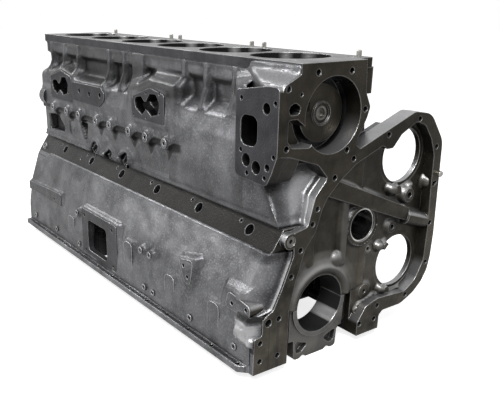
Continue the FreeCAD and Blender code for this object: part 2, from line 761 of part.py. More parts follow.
def left_openings():
    """Ports, windows, cast pockets and slots cut into the near side."""
    window = [
        (by_bore(4, -32), 34, 10),
        (by_bore(4, 64), 34, 10),
        (by_bore(4, 64), 110, 10),
        (by_bore(4, -32), 110, 10),
    ]
    slot = [
        (-91, under_deck(131), 14),
        (-48, under_deck(131), 14),
        (-48, under_deck(82), 14),
        (-91, under_deck(82), 14),
    ]
    rear_cavity = [
        (by_bore(6, -76), 262, 10),
        (by_bore(6, 19), 266, 10),
        (by_bore(6, 26), 281, 8),
        (by_bore(6, -14), 312, 10),
        (by_bore(6, -74), 304, 8),
    ]
    middle_cavity = [(by_bore(6, 66), 272, 6), (by_bore(6, 96), 270, 6), (by_bore(6, 88), 306, 6)]
    front_cavity = [
        (by_bore(5, -14), 266, 5),
        (by_bore(5, 3), 272, 5),
        (by_bore(5, 12), 312, 8),
        (by_bore(5, -38), 310, 8),
    ]
    panel_front = by_bore(2, -72)
    panel_floor = LEFT_WALL_Y + PANEL_DEPTH
    panel = [
        (REAR_X - 1, 256),
        (panel_front, 256),
        (panel_front, LEDGE_HEIGHT - 6, 10),
        (REAR_X - 1, LEDGE_HEIGHT - 6),
    ]
    seats = []
    for cylinder, offset, radius, _ in BAND_SEATS:
        centre = band_point(by_bore(cylinder, offset), BAND_SEAT_RISE)
        seats.append(Part.makeCylinder(radius, 40, centre, BAND_NORMAL))
    return seats + [
        sideways(window, -180, -140),
        port_mouth(3, 0, 0),
        port_mouth(6, 18, 8),
        sideways(slot, -140, DECK_LEFT_Y + 4),
        rod_y(9, -28, under_deck(67), -140, DECK_LEFT_Y + 4),
        sideways(panel, LEFT_WALL_Y - 4, panel_floor),
        cavity(rear_cavity),
        cavity(middle_cavity),
        cavity(front_cavity),
    ]


def band_point(x, rise):
    """Point on the machined band, rise up its slope from the middle."""
    slope = Vector(0, BAND_TOP[0] - BAND_FOOT[0], BAND_TOP[1] - BAND_FOOT[1]).normalize()
    middle = Vector(x, (BAND_TOP[0] + BAND_FOOT[0]) / 2, (BAND_TOP[1] + BAND_FOOT[1]) / 2)
    return middle + slope * rise


def band_hole(x, rise, radius, depth):
    """Hole square to the machined band."""
    return Part.makeCylinder(radius, depth + 4, band_point(x, rise) + BAND_NORMAL * 4, BAND_NORMAL * -1)


def holes():
    """Drilled and tapped holes of the front face, band, pads, rail and deck."""
    cuts = []
    for y, depth in PUMP_FACE_HOLES:
        cuts.append(rod_x(CASE_HOLE_RADIUS, y, under_deck(depth), -CASE_HOLE_DEPTH, 1))
    y, depth = PUMP_BLEED
    cuts.append(rod_x(PUMP_BLEED_RADIUS, y, under_deck(depth), -CASE_HOLE_DEPTH, 1))
    for y, z in CASE_HOLES:
        cuts.append(rod_x(CASE_HOLE_RADIUS, y, z, -CASE_HOLE_DEPTH, 1))
    cuts.append(rod_x(7, -134, 90, -CASE_HOLE_DEPTH, 1))
    for y, z, radius in ((208, 253, 6), (175, 195, 5), (117, 77, 4), (270, 270, 4)):
        cuts.append(rod_x(radius, y, z, -CASE_FLOOR - 6, 1))
    for x in BORE_X:
        cuts.append(band_hole(x + BORE_PITCH / 4, 0, BAND_HOLE_RADIUS, 22))
        cuts.append(band_hole(x + 9, 9, BAND_PIN_RADIUS, BAND_PIN_DEPTH))
    for cylinder, offset, _, radius in BAND_SEATS:
        cuts.append(band_hole(by_bore(cylinder, offset), BAND_SEAT_RISE, radius, BAND_SEAT_DEPTH))
    for cylinder, (offset, rise) in ((5, BAND_SPARE_HOLE), (6, BAND_END_HOLE)):
        cuts.append(band_hole(by_bore(cylinder, offset), rise, BAND_PIN_RADIUS, BAND_PIN_DEPTH))
    for x in MAIN_X:
        for y in (-HEAD_BOLT_Y, HEAD_BOLT_Y):
            cuts.append(rod_z(HEAD_BOLT_RADIUS, x, y, under_deck(HEAD_BOLT_DEPTH), DECK_HEIGHT + 1))
    for i in range(RAIL_HOLES):
        x = RAIL_HOLE_FIRST_X - i * RAIL_HOLE_PITCH
        for y in (LEFT_RAIL_Y + RAIL_HOLE_INSET, RIGHT_RAIL_Y - RAIL_HOLE_INSET):
            cuts.append(rod_z(RAIL_HOLE_RADIUS, x, y, -1, RAIL_HEIGHT + 4))
    for offset in WINDOW_HOLE_OFFSETS:
        for z in WINDOW_HOLE_Z:
            cuts.append(rod_y(WINDOW_HOLE_RADIUS, by_bore(4, offset), z, -175, -150))
    for cylinder, offset, depth, radius in SIDE_HOLES:
        cuts.append(rod_y(radius, by_bore(cylinder, offset), under_deck(depth), -135, -100))
    for cylinder, offset in LEDGE_BOSSES:
        cuts.append(rod_y(4, by_bore(cylinder, offset), LEDGE_HEIGHT, -125, -102))
    for cylinder, offset, z in SKIRT_HOLES:
        cuts.append(rod_y(4, by_bore(cylinder, offset), z, -180, -150))
    for y, z in REAR_HOLES:
        cuts.append(rod_x(CASE_HOLE_RADIUS, y, z, REAR_X - 1, REAR_X + CASE_HOLE_DEPTH))
    return cuts


def cylinder_block():
    parts = [deck_plate(), skirt_body(), front_case(), front_boss(), front_gusset(), deck_bulge()]
    body = upper_body().multiFuse(parts + left_pads() + skirt_details())
    body = body.cut(across(CASE_RECESS, -CASE_FLOOR, 1))
    body = body.multiFuse(case_details())
    body = body.cut(accessory_holes())
    body = body.cut(volute())
    body = body.cut(interior())
    body = body.cut(left_openings())
    body = body.cut(holes())
    body = body.cut(plug_seats())
    return body


def front_boss():
    """Boss at the front end of the main oil gallery."""
    y, z = GALLERY_PLUG
    return rod_x(GALLERY_BOSS_RADIUS, y, z, -NECK_DEPTH, 0)


def plug_seats():
    """Bored seats of the plugs, dowels and bushings, made from the sizes of what they hold."""
    cuts = []
    y, z = GALLERY_PLUG
    cuts.append(rod_x(GALLERY_PLUG_RADIUS, y, z, -GALLERY_PLUG_LENGTH, 1))
    cuts.append(rod_x(GALLERY_PLUG_RADIUS, y, z, REAR_X - 1, REAR_X + GALLERY_PLUG_LENGTH))
    y, z = CAM_PLUG
    cuts.append(rod_x(CAM_PLUG_RADIUS, y, z, -CASE_FLOOR - CAM_PLUG_LENGTH, 1 - CASE_FLOOR + CAM_PLUG_BOSS))
    for x in BORE_X:
        cuts.append(rod_y(CORE_PLUG_RADIUS, x, CORE_PLUG_HEIGHT, 80, 120))
    for x, y in DECK_DOWELS:
        cuts.append(rod_z(DECK_DOWEL_RADIUS, x, y, DECK_HEIGHT - DECK_DOWEL_SEAT, DECK_HEIGHT + 1))
    y, z = FRONT_DOWEL
    cuts.append(rod_x(FRONT_DOWEL_RADIUS, y, z, -FRONT_DOWEL_SEAT, 1))
    for y, z in REAR_DOWELS:
        cuts.append(rod_x(FRONT_DOWEL_RADIUS, y, z, REAR_X - 1, REAR_X + FRONT_DOWEL_SEAT))
    for x in MAIN_X:
        for y in (-CAP_BOLT_Y, CAP_BOLT_Y):
            top = CAP_SEAT + CAP_BOLT_GRIP + 6
            cuts.append(rod_z(CAP_BOLT_RADIUS + HOLE_CLEARANCE, x, y, CAP_SEAT - 1, top))
    return cuts


def web_span(index):
    """Rear and front faces of a main bearing web; the first reaches out to the case floor."""
    rear = MAIN_X[index] - WEB_THICKNESS / 2
    front = MAIN_X[index] + WEB_THICKNESS / 2
    if index == 0:
        front = -CASE_FLOOR
    if index == CYLINDERS:
        rear = REAR_X
    return rear, front


def main_cap(index):
    """Bearing cap: square shoulders under the bolts and three lobes below the crank bore."""
    rear, front = web_span(index)
    low = CAP_BOTTOM
    section = [
        (-CAP_HALF_WIDTH, CAP_SEAT),
        (-CAP_HALF_WIDTH, CAP_PAD_HEIGHT, 5),
        (-CAP_LOBE - 2, CAP_PAD_HEIGHT, 4),
        (-CAP_LOBE, low, 9),
        (-38, low, 9),
        (-30, low + 6, 6),
        (-22, low, 6),
        (22, low, 6),
        (30, low + 6, 6),
        (38, low, 9),
        (CAP_LOBE, low, 9),
        (CAP_LOBE + 2, CAP_PAD_HEIGHT, 4),
        (CAP_HALF_WIDTH, CAP_PAD_HEIGHT, 5),
        (CAP_HALF_WIDTH, CAP_SEAT),
    ]
    cap = across(section, rear, front)
    bore = rod_x(CRANK_BORE_RADIUS, 0, CRANK_HEIGHT, rear - 10, front + 10)
    cap = cap.cut(bore)
    if index == 0:
        nose = front - CAP_NOSE_LENGTH
        for side in (-1, 1):
            inner = side * CAP_NOSE_HALF
            outer = side * (CAP_HALF_WIDTH + 1)
            left, right = sorted((inner, outer))
            cap = cap.cut(block(nose, front + 1, left, right, low - 1, CAP_SEAT + 1))
        ring = rod_x(CRANK_BORE_RADIUS + 9, 0, CRANK_HEIGHT, front - 1, front + 5)
        below = block(front - 2, front + 6, -90, 90, low, CAP_SEAT)
        cap = cap.fuse(ring.common(below).cut(bore))
        left_pocket = [(-52, 20, 5), (-18, 8, 4), (-34, -6, 5), (-46, -6, 5)]
        right_pocket = [(-corner[0], corner[1], corner[2]) for corner in left_pocket]
        for pocket in (left_pocket, right_pocket):
            cap = cap.cut(across(pocket, front - 10, front + 1))
    hole = CAP_BOLT_RADIUS + HOLE_CLEARANCE
    for y in (-CAP_BOLT_Y, CAP_BOLT_Y):
        cap = cap.cut(rod_z(hole, MAIN_X[index], y, CAP_PAD_HEIGHT - 1, CAP_SEAT + 1))
    return cap


def cap_bolt(x, y):
    """Flanged hexagon bolt, head down, through the washer and cap into the web."""
    seat = CAP_PAD_HEIGHT - CAP_WASHER_HEIGHT
    corners = []
    for i in range(6):
        turn = math.radians(60 * i)
        corners.append((x + CAP_BOLT_HEAD * math.cos(turn), y + CAP_BOLT_HEAD * math.sin(turn)))
    head = planform(corners, seat - CAP_BOLT_HEAD_HEIGHT, seat)
    shank = rod_z(CAP_BOLT_RADIUS, x, y, seat - 1, CAP_SEAT + CAP_BOLT_GRIP)
    return head.fuse(shank)


def cap_washer(x, y):
    low = CAP_PAD_HEIGHT - CAP_WASHER_HEIGHT
    ring = rod_z(CAP_WASHER_RADIUS, x, y, low, CAP_PAD_HEIGHT)
    return ring.cut(rod_z(CAP_BOLT_RADIUS + HOLE_CLEARANCE, x, y, low - 1, CAP_PAD_HEIGHT + 1))


def cam_bushing(index):
    rear, front = web_span(index)
    if index == 0:
        front = front + CAM_RING_HEIGHT
    if index == CYLINDERS:
        rear = rear + CORE_PLUG_DEPTH + 2
    rear = rear + BUSHING_INSET
    front = front - BUSHING_INSET
    ring = rod_x(CAM_TUNNEL_RADIUS, CAM_Y, CAM_HEIGHT, rear, front)
    return ring.cut(rod_x(CAM_TUNNEL_RADIUS - CAM_BUSHING_WALL, CAM_Y, CAM_HEIGHT, rear - 1, front + 1))


def cup(radius, depth, wall, mouth, direction):
    """Pressed expansion plug: a shallow cup, open at its mouth."""
    outer = Part.makeCylinder(radius, depth, mouth, direction)
    hollow = Part.makeCylinder(radius - wall, depth - wall, mouth, direction)
    return outer.cut(hollow)


def socket_plug(radius, length, recess, mouth, direction):
    """Threaded plug with a hexagon socket in its outer face."""
    body = Part.makeCylinder(radius, length - recess, mouth + direction * recess, direction)
    turn = FreeCAD.Rotation(Vector(0, 0, 1), direction)
    place = FreeCAD.Placement(mouth, turn)
    corners = []
    for i in range(6):
        angle = math.radians(60 * i)
        corners.append(Vector(SOCKET_RADIUS * math.cos(angle), SOCKET_RADIUS * math.sin(angle), 0))
    corners.append(corners[0])
    socket = Part.Face(Part.makePolygon(corners)).extrude(Vector(0, 0, recess + SOCKET_DEPTH))
    socket.Placement = place
    return body.cut(socket)


def pin(radius, start, end):
    """Dowel with a chamfered free end."""
    axis = end - start
    length = axis.Length
    body = Part.makeCylinder(radius, length - DOWEL_CHAMFER, start, axis)
    tip_start = start + axis * ((length - DOWEL_CHAMFER) / length)
    tip = Part.makeCone(radius, radius - DOWEL_CHAMFER, DOWEL_CHAMFER, tip_start, axis)
    return body.fuse(tip)


def make_nodes():
    nodes = {"cylinder_block": cylinder_block()}
    for index in range(CYLINDERS + 1):
        nodes[f"main_cap_{index + 1}"] = main_cap(index)
        nodes[f"cam_bushing_{index + 1}"] = cam_bushing(index)
    places = [(x, y) for x in MAIN_X for y in (-CAP_BOLT_Y, CAP_BOLT_Y)]
    nodes["main_cap_bolts"] = Part.makeCompound([cap_bolt(x, y) for x, y in places])
    nodes["main_cap_washers"] = Part.makeCompound([cap_washer(x, y) for x, y in places])
    pins = []
    for x, y in DECK_DOWELS:
        foot = Vector(x, y, DECK_HEIGHT - DECK_DOWEL_SEAT)
        pins.append(pin(DECK_DOWEL_RADIUS, foot, Vector(x, y, DECK_HEIGHT + DECK_DOWEL_HEIGHT)))
    nodes["deck_dowels"] = Part.makeCompound(pins)
    y, z = FRONT_DOWEL
    nodes["front_dowel"] = pin(
        FRONT_DOWEL_RADIUS, Vector(-FRONT_DOWEL_SEAT, y, z), Vector(DOWEL_REACH, y, z)
    )
    pins = []
    for y, z in REAR_DOWELS:
        foot = Vector(REAR_X + FRONT_DOWEL_SEAT, y, z)
        pins.append(pin(FRONT_DOWEL_RADIUS, foot, Vector(REAR_X - DOWEL_REACH, y, z)))
    nodes["rear_dowels"] = Part.makeCompound(pins)
    y, z = GALLERY_PLUG
    back = Vector(-1, 0, 0)
    ahead = Vector(1, 0, 0)
    nodes["gallery_plug_front"] = socket_plug(
        GALLERY_PLUG_RADIUS, GALLERY_PLUG_LENGTH, 1, Vector(0, y, z), back
    )
    nodes["gallery_plug_rear"] = socket_plug(
        GALLERY_PLUG_RADIUS, GALLERY_PLUG_LENGTH, 1, Vector(REAR_X, y, z), ahead
    )
    y, z = CAM_PLUG
    mouth = Vector(CAM_PLUG_BOSS - CASE_FLOOR, y, z)
    nodes["cam_gallery_plug"] = socket_plug(
        CAM_PLUG_RADIUS, CAM_PLUG_LENGTH + CAM_PLUG_BOSS, 1, mouth, back
    )
    plugs = []
    for x in BORE_X:
        mouth = Vector(x, CORE_PLUG_MOUTH_Y, CORE_PLUG_HEIGHT)
        plugs.append(cup(CORE_PLUG_RADIUS, CORE_PLUG_DEPTH, CORE_PLUG_WALL, mouth, Vector(0, -1, 0)))
    nodes["core_plugs"] = Part.makeCompound(plugs)
    nodes["cam_rear_plug"] = cup(
        CAM_TUNNEL_RADIUS, CORE_PLUG_DEPTH, CORE_PLUG_WALL, Vector(REAR_X + 1, CAM_Y, CAM_HEIGHT), ahead
    )
    y, z = PUMP_CENTRE
    nodes["pump_shaft_cup"] = cup(
        PUMP_SHAFT_RADIUS, PUMP_CUP_DEPTH, CORE_PLUG_WALL, Vector(-PUMP_DISC_DEPTH, y, z), back
    )
    return nodes


os.makedirs("parts", exist_ok=True)
for name, shape in make_nodes().items():
    shape.translate(FRAME_SHIFT)
    shape.exportStep(f"parts/{name}.step")
    print(name, "solids", len(shape.Solids), "valid", shape.isValid())
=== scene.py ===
import bpy
import numpy as np
from mathutils import Matrix, Vector


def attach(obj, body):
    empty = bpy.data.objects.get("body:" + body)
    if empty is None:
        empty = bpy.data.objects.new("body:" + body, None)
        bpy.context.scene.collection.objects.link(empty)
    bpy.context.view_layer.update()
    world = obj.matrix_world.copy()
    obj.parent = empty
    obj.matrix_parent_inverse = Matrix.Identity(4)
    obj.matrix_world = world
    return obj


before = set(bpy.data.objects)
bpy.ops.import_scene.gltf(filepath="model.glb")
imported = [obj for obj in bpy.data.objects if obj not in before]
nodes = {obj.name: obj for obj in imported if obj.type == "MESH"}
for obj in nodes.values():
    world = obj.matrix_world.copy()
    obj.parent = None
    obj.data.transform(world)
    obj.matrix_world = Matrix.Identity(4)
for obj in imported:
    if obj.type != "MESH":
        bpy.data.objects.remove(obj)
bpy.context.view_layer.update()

print("stage: frame loaded")

# Work is done in millimetres from the front face (x), the crank axis (y) and the pan rail (z), with x running
# forward, so the block lies at negative x and its near side at negative y. This shift takes it to the row's frame.
toRow = np.array([492.5, -53.0, 18.0])


def rowLevel(axis, value):
    # millimetres of the working axes to metres of the row frame
    return (value + toRow[axis]) / 1000.0


def isSocket(value):
    return isinstance(value, bpy.types.NodeSocket)


def put(tree, kind, sockets=None, **settings):
    # one node: settings are its properties, sockets its inputs, each a value or another node's output
    node = tree.nodes.new(kind)
    for name, value in settings.items():
        setattr(node, name, value)
    for key, value in (sockets or {}).items():
        if isSocket(value):
            tree.links.new(value, node.inputs[key])
        else:
            node.inputs[key].default_value = value
    return node


def useGroup(tree, group, sockets=None):
    return put(tree, "ShaderNodeGroup", sockets, node_tree=group)


def compute(tree, operation, *values):
    return put(tree, "ShaderNodeMath", dict(enumerate(values)), operation=operation).outputs[0]


def measure(tree, operation, *vectors):
    # a number made from vectors, such as a length or a dot product
    return put(tree, "ShaderNodeVectorMath", dict(enumerate(vectors)), operation=operation).outputs["Value"]


def product(tree, first, *others):
    for value in others:
        first = compute(tree, "MULTIPLY", first, value)
    return first


def opposite(tree, mask):
    return compute(tree, "SUBTRACT", 1.0, mask)


def within(tree, value, middle, half):
    # 1 where the value lies no further than half from the middle
    return compute(tree, "COMPARE", value, middle, half)


def rangeOf(tree, value, low, high, outLow=0.0, outHigh=1.0):
    ends = {"From Min": low, "From Max": high, "To Min": outLow, "To Max": outHigh}
    return put(tree, "ShaderNodeMapRange", {"Value": value, **ends}).outputs[0]


def mixNumber(tree, factor, a, b):
    return put(tree, "ShaderNodeMix", {0: factor, 2: a, 3: b}).outputs[0]


def mixColour(tree, factor, a, b):
    a, b = (value if isSocket(value) else (*value, 1.0) for value in (a, b))
    return put(tree, "ShaderNodeMix", {0: factor, 6: a, 7: b}, data_type="RGBA").outputs[2]


def placeOf(tree):
    # the three object coordinates, in metres of the row frame
    return put(tree, "ShaderNodeSeparateXYZ", {0: put(tree, "ShaderNodeTexCoord").outputs["Object"]}).outputs


def normalOf(tree):
    return put(tree, "ShaderNodeSeparateXYZ", {0: put(tree, "ShaderNodeNewGeometry").outputs["Normal"]}).outputs


def newGroup(name, inputs, outputs):
    # empty shader group with its named sockets, all numbers but for a normal
    group = bpy.data.node_groups.new(name, "ShaderNodeTree")
    for label, value in inputs.items():
        group.interface.new_socket(label, in_out="INPUT", socket_type="NodeSocketFloat").default_value = value
    for label in outputs:
        kind = "NodeSocketVector" if label == "Normal" else "NodeSocketFloat"
        group.interface.new_socket(label, in_out="OUTPUT", socket_type=kind)
    return group, group.nodes.new("NodeGroupInput").outputs, group.nodes.new("NodeGroupOutput").inputs


# castGrain: sand grain and dents of a casting as a height, mottled stains and bright sand specks as masks; the specks
# are partly grain and partly painted glint
castGrain, given, made = newGroup(
    "castGrain", {"Grain Scale": 300.0, "Dent Scale": 45.0, "Dent Share": 0.45, "Stain Scale": 11.0},
    ("Height", "Stain", "SandGlint"))
coordinates = put(castGrain, "ShaderNodeTexCoord").outputs["Object"]
grain, dent, broad = (
    put(castGrain, "ShaderNodeTexNoise", {
        "Vector": coordinates, "Scale": given[scale], "Detail": detail, "Roughness": rough, "Distortion": bending,
    }).outputs[0]
    for scale, detail, rough, bending in (
        ("Grain Scale", 3.0, 0.6, 0.0), ("Dent Scale", 4.0, 0.55, 0.0), ("Stain Scale", 5.0, 0.6, 0.5))
)
broadShare = 0.72
mottle = compute(castGrain, "ADD", product(castGrain, broad, broadShare), product(castGrain, dent, 1.0 - broadShare))
castGrain.links.new(mixNumber(castGrain, given["Dent Share"], grain, dent), made["Height"])
castGrain.links.new(rangeOf(castGrain, mottle, 0.36, 0.64, 0.12, 0.88), made["Stain"])
castGrain.links.new(rangeOf(castGrain, grain, 0.52, 0.70), made["SandGlint"])

# bevel mask: along convex and concave edges, from the rounded normal against the flat one; the edges it finds are
# lightened, partly as wear and partly as painted highlight
edgeWearHighlight, given, made = newGroup("edgeWearHighlight", {"Radius": 0.002, "Strength": 6.0}, ("WearHighlight", "Normal"))
rounded = put(edgeWearHighlight, "ShaderNodeBevel", {"Radius": given["Radius"]}, samples=6).outputs[0]
flat = put(edgeWearHighlight, "ShaderNodeNewGeometry").outputs["Normal"]
bend = product(edgeWearHighlight, opposite(edgeWearHighlight, measure(edgeWearHighlight, "DOT_PRODUCT", rounded, flat)), given["Strength"])
edgeWearHighlight.links.new(rangeOf(edgeWearHighlight, bend, 0.05, 1.0), made["WearHighlight"])
edgeWearHighlight.links.new(rounded, made["Normal"])

# mask of painted shade: 1 in corners and hollows by ambient occlusion, falling to 0 on open faces
hollowShade, given, made = newGroup("hollowShade", {"Reach": 0.03, "Open": 0.85, "Closed": 0.25}, ("Shade",))
openness = put(hollowShade, "ShaderNodeAmbientOcclusion", {"Distance": given["Reach"]}, samples=8).outputs["AO"]
hollowShade.links.new(rangeOf(hollowShade, openness, given["Open"], given["Closed"]), made["Shade"])


def newMaterial(name):
    # material with an empty tree, its shader and its output
    material = bpy.data.materials.new(name)
    material.use_nodes = True
    tree = material.node_tree
    tree.nodes.clear()
    shader = put(tree, "ShaderNodeBsdfPrincipled")
    put(tree, "ShaderNodeOutputMaterial", {"Surface": shader.outputs[0]})
    return material, tree, shader


def addBump(tree, shader, cast, edge, amount):
    # the casting's grain over the rounded edges; amount is the strength and the distance in metres
    strength, distance = amount
    bump = put(tree, "ShaderNodeBump", {"Strength": strength, "Distance": distance,
               "Height": cast.outputs["Height"], "Normal": edge.outputs["Normal"]})
    tree.links.new(bump.outputs[0], shader.inputs["Normal"])


# Looks of the iron. A look goes from its dark to its pale colour by the stain, or by a streak mask of its own.
# A share in a look scales the bright edges inside the look's mask, which are partly wear and partly painted
# highlight.
castIron = {
    "dark": (0.036, 0.0365, 0.039), "pale": (0.165, 0.166, 0.174), "sandGlint": (0.50, 0.50, 0.51), "sandGlintShare": 0.22,
    # pale colour of worn edges, also of painted highlights and of painted light from above
    "wearAndHighlight": (0.80, 0.80, 0.81), "wearHighlightShare": 0.6, "edge": 0.0026, "edgeStrength": 5.0,
    # near-black colour of painted shade, also of some plain darkening of the upper wall
    "grimeAndShade": (0.004, 0.004, 0.004), "hollowShare": 0.7, "metallic": 0.8, "roughLow": 0.24, "roughHigh": 0.44,
    "bump": (0.6, 0.0018),
}
frontIron = {
    "dark": (0.010, 0.009, 0.007), "pale": (0.060, 0.0535, 0.042), "lowPale": (0.130, 0.118, 0.095),
    "paleHeights": (330.0, 0.0), "wearHighlightShare": 0.45, "aboveLight": 0.3, "oil": 0.7, "levelNormal": 0.04, "steepNormal": 0.6,
}
padIron = {"dark": (0.014, 0.014, 0.0155), "pale": (0.045, 0.045, 0.050), "wearHighlightShare": 0.35}
bandIron = {"dark": (0.012, 0.0114, 0.0108), "pale": (0.031, 0.0297, 0.0283), "wearHighlightShare": 0.9}
deckIron = {"dark": (0.12, 0.12, 0.12), "pale": (0.26, 0.26, 0.26), "rough": 0.6}
linerIron = {"dark": (0.022, 0.022, 0.022), "pale": (0.32, 0.32, 0.32), "rough": 0.4}
# a flat pale look: painted highlight on the neck's flank, and the caps' lightening
lightenedIron = {"dark": castIron["wearAndHighlight"], "pale": castIron["wearAndHighlight"]}
boreIron = {"dark": (0.02, 0.02, 0.02), "pale": (0.9, 0.9, 0.9), "rough": 0.28, "metallic": 0.05, "specular": 0.2}


def castSurface(tree, shader, front=None, ahead=1.0, layers=(), oiled=None):
    # grey iron: stained casting with bright sand specks that are partly painted glint, then the dark oiled front,
    # lightened on its upward faces as painted light from above and darkened under the others as painted shade, then
    # layers of (mask, look, streak or None) from the bottom up, bright edges that are partly wear and partly painted
    # highlight, the skins' tones of painted shade and highlight, and painted shade in hollows and openings
    c, f = castIron, frontIron
    cast = useGroup(tree, castGrain)
    stain = cast.outputs["Stain"]
    edge = useGroup(tree, edgeWearHighlight, {"Radius": c["edge"], "Strength": c["edgeStrength"]})
    colour = mixColour(tree, stain, c["dark"], c["pale"])
    # bright sand specks in the colour: partly the casting's grain, partly painted glint
    colour = mixColour(tree, product(tree, cast.outputs["SandGlint"], c["sandGlintShare"]), colour, c["sandGlint"])
    # bright edges, convex and concave alike: partly wear, partly painted highlight
    wearHighlight = product(tree, edge.outputs["WearHighlight"], c["wearHighlightShare"])
    wearAndHighlight = [(mask, look["wearHighlightShare"]) for mask, look, streak in layers if "wearHighlightShare" in look]
    if front is not None:
        high, low = f["paleHeights"]
        lowness = rangeOf(tree, placeOf(tree)[2], rowLevel(2, high), rowLevel(2, low))
        pale = mixColour(tree, lowness, f["pale"], f["lowPale"])
        colour = mixColour(tree, front, colour, mixColour(tree, stain, f["dark"], pale))
        upward = normalOf(tree)[2]
        near, far = f["levelNormal"], f["steepNormal"]
        # painted light on the front: upward faces lightened as if lit from above, downward faces darkened as painted
        # shade
        litFromAbove = product(tree, rangeOf(tree, upward, near, far, 0.0, f["aboveLight"]), ahead)
        colour = mixColour(tree, litFromAbove, colour, c["wearAndHighlight"])
        oily = product(tree, rangeOf(tree, upward, -near, -far, 0.0, f["oil"]), ahead)
        colour = mixColour(tree, oily, colour, c["grimeAndShade"])
        wearAndHighlight.append((front, f["wearHighlightShare"]))
    for mask, look, streak in layers:
        shade = stain if streak is None else streak
        colour = mixColour(tree, mask, colour, mixColour(tree, shade, look["dark"], look["pale"]))
    for mask, share in wearAndHighlight:
        wearHighlight = product(tree, wearHighlight, rangeOf(tree, mask, 0.0, 1.0, 1.0, share))
    colour = mixColour(tree, wearHighlight, colour, c["wearAndHighlight"])
    # painted highlight: where the skins' tone is below 0 the colour goes pale
    tone = put(tree, "ShaderNodeAttribute", attribute_name="tone").outputs["Fac"]
    colour = mixColour(tree, rangeOf(tree, tone, 0.0, -1.0), colour, c["wearAndHighlight"])
    # near-black darkening: painted shade in hollows found by ambient occlusion and inside openings, and the skins'
    # tone above 0, which is mostly painted shade
    hollow = product(tree, useGroup(tree, hollowShade).outputs["Shade"], c["hollowShare"])
    grimeAndShade = compute(tree, "MAXIMUM", rangeOf(tree, tone, 0.0, 1.0), hollow)
    if oiled is not None:
        grimeAndShade = compute(tree, "MAXIMUM", grimeAndShade, oiled)
    tree.links.new(mixColour(tree, grimeAndShade, colour, c["grimeAndShade"]), shader.inputs["Base Color"])
    rough = rangeOf(tree, stain, 0.0, 1.0, c["roughHigh"], c["roughLow"])
    shader.inputs["Metallic"].default_value = c["metallic"]
    for mask, look, streak in layers:
        if "rough" in look:
            rough = mixNumber(tree, mask, rough, look["rough"])
        if "metallic" in look:
            matte = product(tree, mask, opposite(tree, streak))
            metallic = rangeOf(tree, matte, 0.0, 1.0, c["metallic"], look["metallic"])
            tree.links.new(metallic, shader.inputs["Metallic"])
            shader.inputs["Specular IOR Level"].default_value = look["specular"]
    tree.links.new(rough, shader.inputs["Roughness"])
    addBump(tree, shader, cast, edge, c["bump"])


# Where the block's faces lie, in working millimetres. The boxes below are the insides of the pad's slot and large
# hole, of the two open ports and of the window, which are darkened as painted shade.
blockFaces = {
    "tolerance": 0.4, "deck": 507.0, "rear": -985.0, "pads": (-88.0, -131.0, -110.0, -112.0, -114.0, -163.0, -168.0),
    "bandSlope": (35.0, -24.0), "bandPoint": (-98.0, 243.0), "caseRear": -33.0,
    "padNear": -130.0, "padLow": 300.0, "flankNear": -8.0, "housing": (393.0, 72.0), "neck": (286.0, 42.0),
    "topShare": 0.1, "neckShare": 0.5, "oiledShare": 0.9,
}
oiledBoxes = [
    ((-93, -128, 373), (-46, -40, 428)), ((-40, -128, 428), (-16, -40, 452)),
    ((-474, -109, 362), (-362, -20, 430)), ((-916, -106, 354), (-790, -20, 426)),
    ((-614, -150, 33), (-514, -60, 111)),
]
linerSeat = {
    "pitch": 152.0, "first": -124.0, "radius": 70.6, "floor": 476.0,
    "streakAxis": (0.57, 0.82, 0.0), "streaks": (1.0, 40.0), "streakHalf": 14.0,
}
crankSeat = {
    "height": 84.0, "bored": 54.8, "radius": 54.0, "glintSide": (0.72, -0.69, 0.0), "glintFrom": 0.965,
    "fade": (-90.0, -40.0), "rearShare": 0.15,
}


def awayFrom(tree, a, levelA, b, levelB):
    # place in a plane as seen from a point of it
    return put(tree, "ShaderNodeCombineXYZ", {
        0: compute(tree, "SUBTRACT", a, levelA), 1: compute(tree, "SUBTRACT", b, levelB)}).outputs[0]


def linerSeats(tree, x, y, z):
    # layer of the bored rims of the six cylinders, with streaks of light on their far side
    s = linerSeat
    half, first = s["pitch"] / 2000.0, rowLevel(0, s["first"])
    away = awayFrom(tree, compute(tree, "WRAP", x, first + half, first - half), first, y, rowLevel(1, 0.0))
    mask = product(tree, compute(tree, "LESS_THAN", measure(tree, "LENGTH", away), s["radius"] / 1000.0),
                   compute(tree, "GREATER_THAN", z, rowLevel(2, s["floor"])),
                   compute(tree, "LESS_THAN", x, first + half))
    across = measure(tree, "DOT_PRODUCT", away, s["streakAxis"])
    streaks = [rangeOf(tree, compute(tree, "ABSOLUTE", compute(tree, "SUBTRACT", across, middle / 1000.0)),
                       s["streakHalf"] / 1000.0, 0.0) for middle in s["streaks"]]
    return mask, linerIron, compute(tree, "MAXIMUM", *streaks)


def crankBore(tree, x, y, z):
    # layer of the bored seats round the crank axis, with a painted highlight on one side near the front
    s = crankSeat
    away = awayFrom(tree, y, rowLevel(1, 0.0), z, rowLevel(2, s["height"]))
    mask = compute(tree, "LESS_THAN", measure(tree, "LENGTH", away), s["bored"] / 1000.0)
    share = compute(tree, "DIVIDE", measure(tree, "DOT_PRODUCT", away, s["glintSide"]), s["radius"] / 1000.0)
    rear, front = (rowLevel(0, place) for place in s["fade"])
    fading = rangeOf(tree, x, rear, front, s["rearShare"], 1.0)
    return mask, boreIron, product(tree, rangeOf(tree, share, s["glintFrom"], 1.0), fading)


